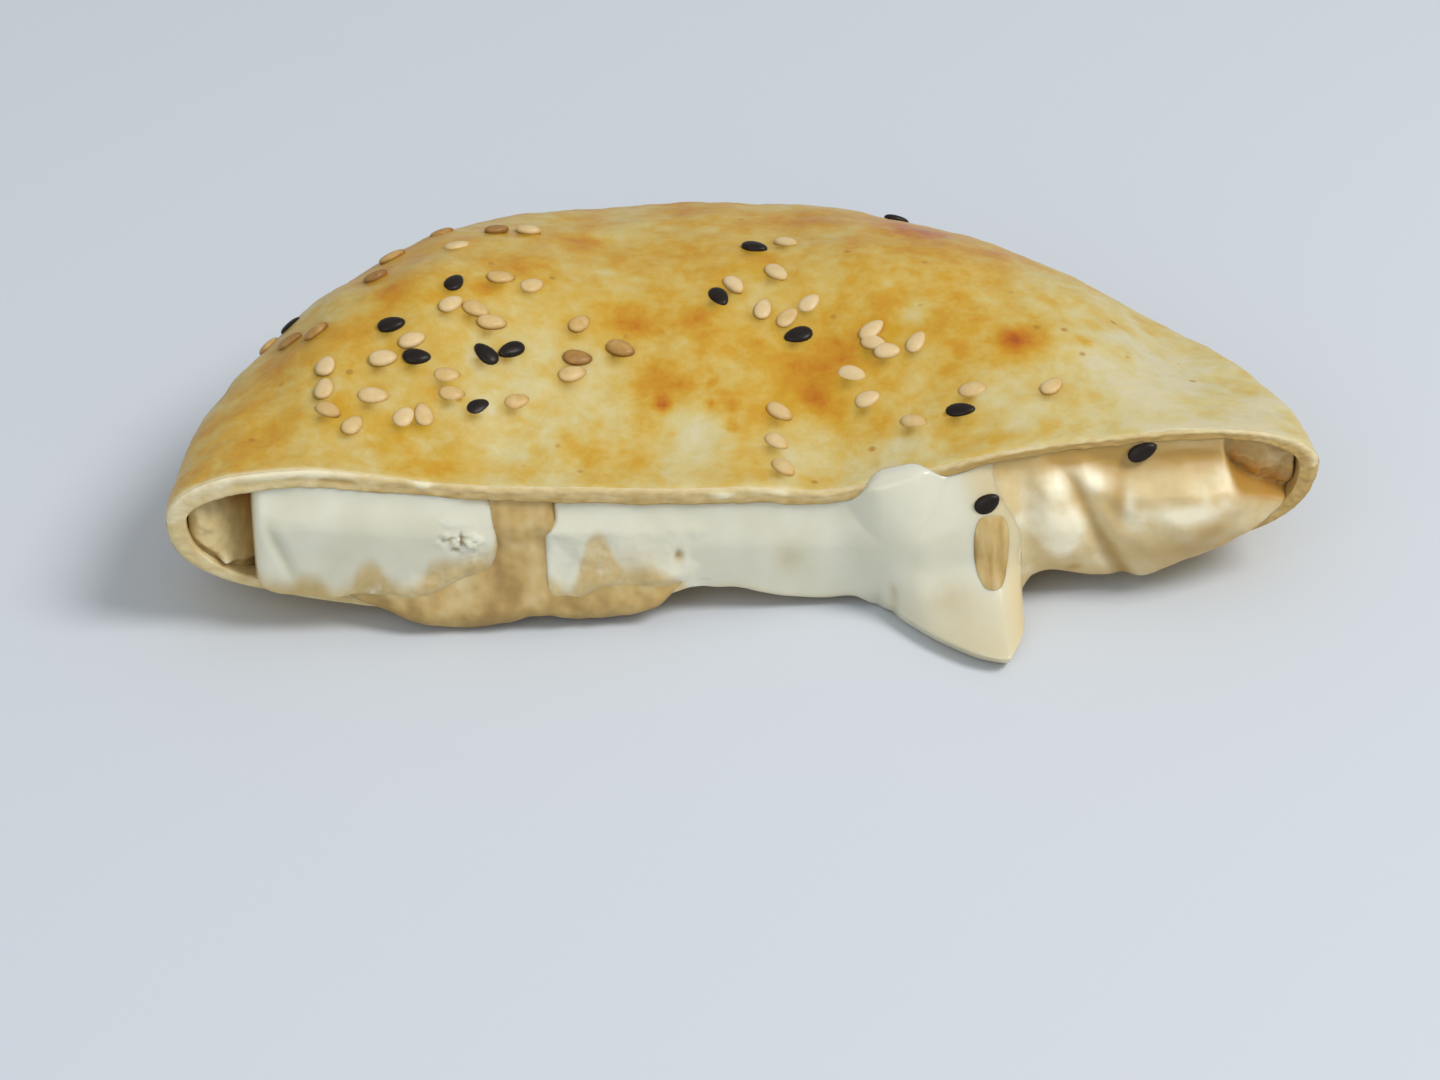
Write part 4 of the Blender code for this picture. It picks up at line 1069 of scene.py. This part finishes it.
def makeStretch(material):
    bm, cells = cellBlock(stretch["cells"])
    tan, shade, dark = addLayers(bm, "tan", "shade", "dark")
    left, right, lip = stretch["left"], stretch["right"], stretch["lipRows"]
    notch, notchX, notchHalf = stretch["notch"]
    for vert, (across, j, up) in zip(bm.verts, cells):
        x = mix(left, right, across)
        if j <= lip:
            x = mix(seam(mix(underEdge(x), ceiling(x, 0), up)) - 0.8 * mm, right, across)
        hang = ramp(x, right - 2 * mm, right - 10 * mm)
        low = mix(ground(x, 0), underEdge(x) + notch * ramp(abs(x - notchX), notchHalf, 0.0), hang)
        z = mix(low, ceiling(x, 0) + 0.1 * mm, up)
        front, crease, tinted, groove, above = stretchFront(x, z)
        front += edgeFall(z - low + 0.2 * mm, 0.9 * mm)
        behindLip = max(front, 0) + 1 * mm
        if j <= lip:
            d = mix(front, behindLip, j / lip)
        else:
            share = (j - lip) / (stretch["cells"][1] - lip)
            d = mix(behindLip, backOf(x), 1 - math.cos(share * math.pi / 2))
            z = mix(ground(x, d), ceiling(x, d), up)
        # tan at its brown places, and painted shade in the band and the crease
        banded = 0.55 + 0.12 * rampMm(x, 33, 38)
        vert[tan] = banded * tinted + 0.75 * crease ** 2 + groove + 0.72 * ovals(x, z, stretch["brown"])
        vert[tan] += 0.3 * rampMm(z - low, 2.2, 0)
        vert[tan] = min(1.0, vert[tan] * rampMm(slanted(x, z), 26.0, 29.5))
        vert[tan] = max(vert[tan] * (1 - 0.4 * above * (1 - groove)), 0.75 * above)
        vert[dark] = 0.85 * ovals(x, z, stretch["dark"]) * rampMm(x, 50, 51.2)
        # painted highlights where the points carry the pale places
        vert[shade] = 0.4 + 0.3 * wave(x + 0.6 * z, 0.8, z, 4, 2) + 0.5 * ovals(x, z, stretch["paleAndHighlights"])
        vert.co = (x, cutY + d, z)
    finishPiece("stretched_folds", bm, material, "stretched_cream")


def makeGlossyCream():
    material, tree, shader, coords = newMaterial(
        "glossyCream", 0.44, 0.36, 0.2, 0.34, 0.45, (1.0, 0.65, 0.4), 2.0 * mm,
    )
    colour = colourRamp(tree, unevenTone(tree, coords, "shade", 300, spread=0.25), [
        (0.0, 200, 172, 112), (0.5, 214, 194, 148), (1.0, 236, 227, 198),
    ])
    colour = mixColour(tree, attributeOf(tree, "tan"), colour, rgb(176, 140, 70))
    colour = mixColour(tree, attributeOf(tree, "dark"), colour, rgb(176, 120, 42))
    normal = bumpFrom(tree, noiseOf(tree, coords, 420, 2, 0.4), 0.05, 0.3 * mm)
    linkLooks(tree, shader, colour, normal)
    return material


glossyCream = makeGlossyCream()
makeStretch(glossyCream)

# Tan drop on the melted cheese, a blister that follows it
drop = {
    "centre": inMm(25.5, 8.4),
    "half": inMm(1.9, 3.4),
    "stands": 0.32 * mm,
    "sunk": 1.3 * mm,
    "bluntness": 3.2,
    "taper": 0.12,
    "wobble": 0.1 * mm,
}


def makeDrop(material):
    bm = bmesh.new()
    bmesh.ops.create_uvsphere(bm, u_segments=48, v_segments=40, radius=1.0)
    [shade] = addLayers(bm, "shade")
    (middle, centre), (halfWide, halfHigh) = drop["centre"], drop["half"]
    for vert in bm.verts:
        across, out, up = vert.co
        blunt = rounded(abs(up), drop["bluntness"]) / max(math.sqrt(1 - min(up * up, 1)), 0.05)
        wide = min(blunt, 2) * halfWide * (1 - drop["taper"] * ramp(up, 0.1, -1))
        x = middle + across * wide + drop["wobble"] * wave(0, 0, up, 500, 2)
        z = centre + up * halfHigh
        stands = drop["stands"] * (1 + 0.25 * wave(across * 2, 0, up * 0.7, 800, 2))
        vert[shade] = 0.42 + 0.35 * wave(across * 1.6, 0.3, up * 0.6, 600, 2)
        # lighter towards its top, and painted shade along its left edge
        vert[shade] += 0.15 * up - 0.5 * ramp(-across, 0.7, 1)
        vert.co = (x, cutY + meltFront(x, z) + out * (stands if out < 0 else drop["sunk"]), z)
    finishPiece("tan_drop", bm, material, "cream_drop")


makeDrop(tanCream)


# Sesame seeds as pieces
def roofSpot(x, d):
    step = 0.3 * mm
    height = roofHeight(x, d, 0)
    slopes = [(roofHeight(x + step, d, 0) - height) / step, (roofHeight(x, d + step, 0) - height) / step]
    return Vector((x, cutY + d, height)), Vector((-slopes[0], -slopes[1], 1)).normalized()


def fillingSpot(x, z):
    front = meltFront(x, z) if x < melt["right"] else stretchFront(x, z)[0]
    return Vector((x, cutY + front - seeds["inFilling"], z))


def addSeed(bm, layer, toasted, place, facing, pointing, rng):
    made = bmesh.ops.create_uvsphere(bm, u_segments=16, v_segments=12, radius=0.5)["verts"]
    length, width, thickness = [part * rng.uniform(0.92, 1.08) for part in seeds["size"]]
    bend = rng.uniform(-seeds["bend"], seeds["bend"])
    along = (pointing - facing * pointing.dot(facing)).normalized()
    turned = Matrix((along, facing.cross(along), facing)).transposed()
    middle = place + facing * thickness * (0.5 - rng.uniform(*seeds["sunk"]))
    for vert in made:
        x, y, z = vert.co
        flat = math.copysign(abs(2 * z) ** 0.8 / 2, z)
        y += bend * (0.25 - x * x)
        tapers = 1 - seeds["taper"] * x
        vert.co = middle + turned @ Vector((x * length, y * width * tapers, flat * thickness))
        # darker at its point, and painted shade below and round its rim where it sits in the crust
        vert[layer] = toasted + 0.25 * ramp(x, 0.25, 0.5) + 0.12 * (0.25 - z) + 0.45 * ramp(z, 0.12, -0.2)


def makeSeeds(whiteMaterial, blackMaterial):
    rng = random.Random(7)
    for colour, material in (("white", whiteMaterial), ("black", blackMaterial)):
        bm = bmesh.new()
        [toastAndShade] = addLayers(bm, "toastAndShade")
        for x, d, angle, *toasted in seeds[colour]:
            pointing = Vector((math.cos(math.radians(angle)), math.sin(math.radians(angle)), 0))
            howToasted = toasted[0] if toasted else seeds["blackToast"]
            addSeed(bm, toastAndShade, howToasted, *roofSpot(x * mm, d * mm), pointing, rng)
        if colour == "black":
            for (x, z), facing, pointing in seeds["onFilling"]:
                facing = Vector(facing).normalized()
                place = fillingSpot(x * mm, z * mm)
                addSeed(bm, toastAndShade, seeds["blackToast"], place, facing, Vector(pointing), rng)
        finishPiece(colour + "_seeds", bm, material, "crust")


def makeSeedMaterial(name, stops, roughness, shine):
    material, tree, shader, coords = newMaterial(name, roughness, shine, 0.3 * shine, 0.2)
    colour = colourRamp(tree, unevenTone(tree, coords, "toastAndShade", 900), stops)
    normal = bumpFrom(tree, noiseOf(tree, coords, 2500, 3, 0.6), 0.3, 0.08 * mm)
    linkLooks(tree, shader, colour, normal)
    return material


whiteSeed = makeSeedMaterial("whiteSesame", [
    (0.0, 216, 190, 144),
    (0.25, 208, 178, 124),
    (0.45, 198, 162, 98),
    (0.75, 166, 124, 62),
    (1.0, 140, 98, 46),
], 0.5, 0.3)
blackSeed = makeSeedMaterial("blackSesame", [(0.0, 22, 17, 15), (1.0, 54, 45, 38)], 0.36, 0.14)
makeSeeds(whiteSeed, blackSeed)

# Floor, light and camera
floorAndLight = {
    "floorSize": 4.0,
    "floorColour": rgb(205, 210, 216),
    "worldColour": rgb(228, 234, 240),
    "worldStrength": 0.55,
    "key": {"place": (0.62, -0.3, 0.85), "size": 0.5, "power": 8.0, "colour": (1.0, 0.985, 0.96)},
    "fill": {"place": (-0.4, -0.8, 0.5), "size": 0.9, "power": 2.6, "colour": (0.95, 0.98, 1.0)},
}
view = {
    "elevation": math.radians(34),
    "yaw": math.radians(5.4),
    "distance": 0.430,
    "lens": 102.1,
    "sensor": 36,
    "target": (0, cutY, 0),
    "aim": (-0.0021, 0.0041, 0.0058),
}


def addLight(name, place, size, power, colour):
    data = bpy.data.lights.new(name, "AREA")
    data.shape = "DISK"
    data.size = size
    data.energy = power
    data.color = colour
    lamp = addObject(name, data)
    lamp.location = place
    lamp.rotation_euler = (-Vector(place)).to_track_quat("-Z", "Y").to_euler()


def makeFloor():
    bm = bmesh.new()
    bmesh.ops.create_grid(bm, x_segments=1, y_segments=1, size=floorAndLight["floorSize"] / 2)
    material, _, shader, _ = newMaterial("paleFloor", 0.6)
    shader["Base Color"].default_value = floorAndLight["floorColour"]
    addMesh("floor", bm, material)


def makeWorld():
    world = bpy.data.worlds.new("softRoom")
    world.use_nodes = True
    background = world.node_tree.nodes["Background"]
    background.inputs["Color"].default_value = floorAndLight["worldColour"]
    background.inputs["Strength"].default_value = floorAndLight["worldStrength"]
    bpy.context.scene.world = world
    bpy.context.scene.view_settings.view_transform = "Standard"


def makeCamera():
    data = bpy.data.cameras.new("camera")
    data.lens = view["lens"]
    data.sensor_width = view["sensor"]
    data.clip_start = 0.01
    camera = addObject("camera", data)
    yaw, elevation = view["yaw"], view["elevation"]
    flat = math.cos(elevation)
    back = Vector((-math.sin(yaw) * flat, -math.cos(yaw) * flat, math.sin(elevation)))
    target = Vector(view["target"])
    camera.location = target + back * view["distance"]
    aim = target + Vector(view["aim"])
    camera.rotation_euler = (aim - camera.location).to_track_quat("-Z", "Y").to_euler()
    bpy.context.scene.camera = camera


makeFloor()
makeWorld()
addLight("keyLight", **floorAndLight["key"])
addLight("fillLight", **floorAndLight["fill"])
makeCamera()
print("floor, light and camera set")
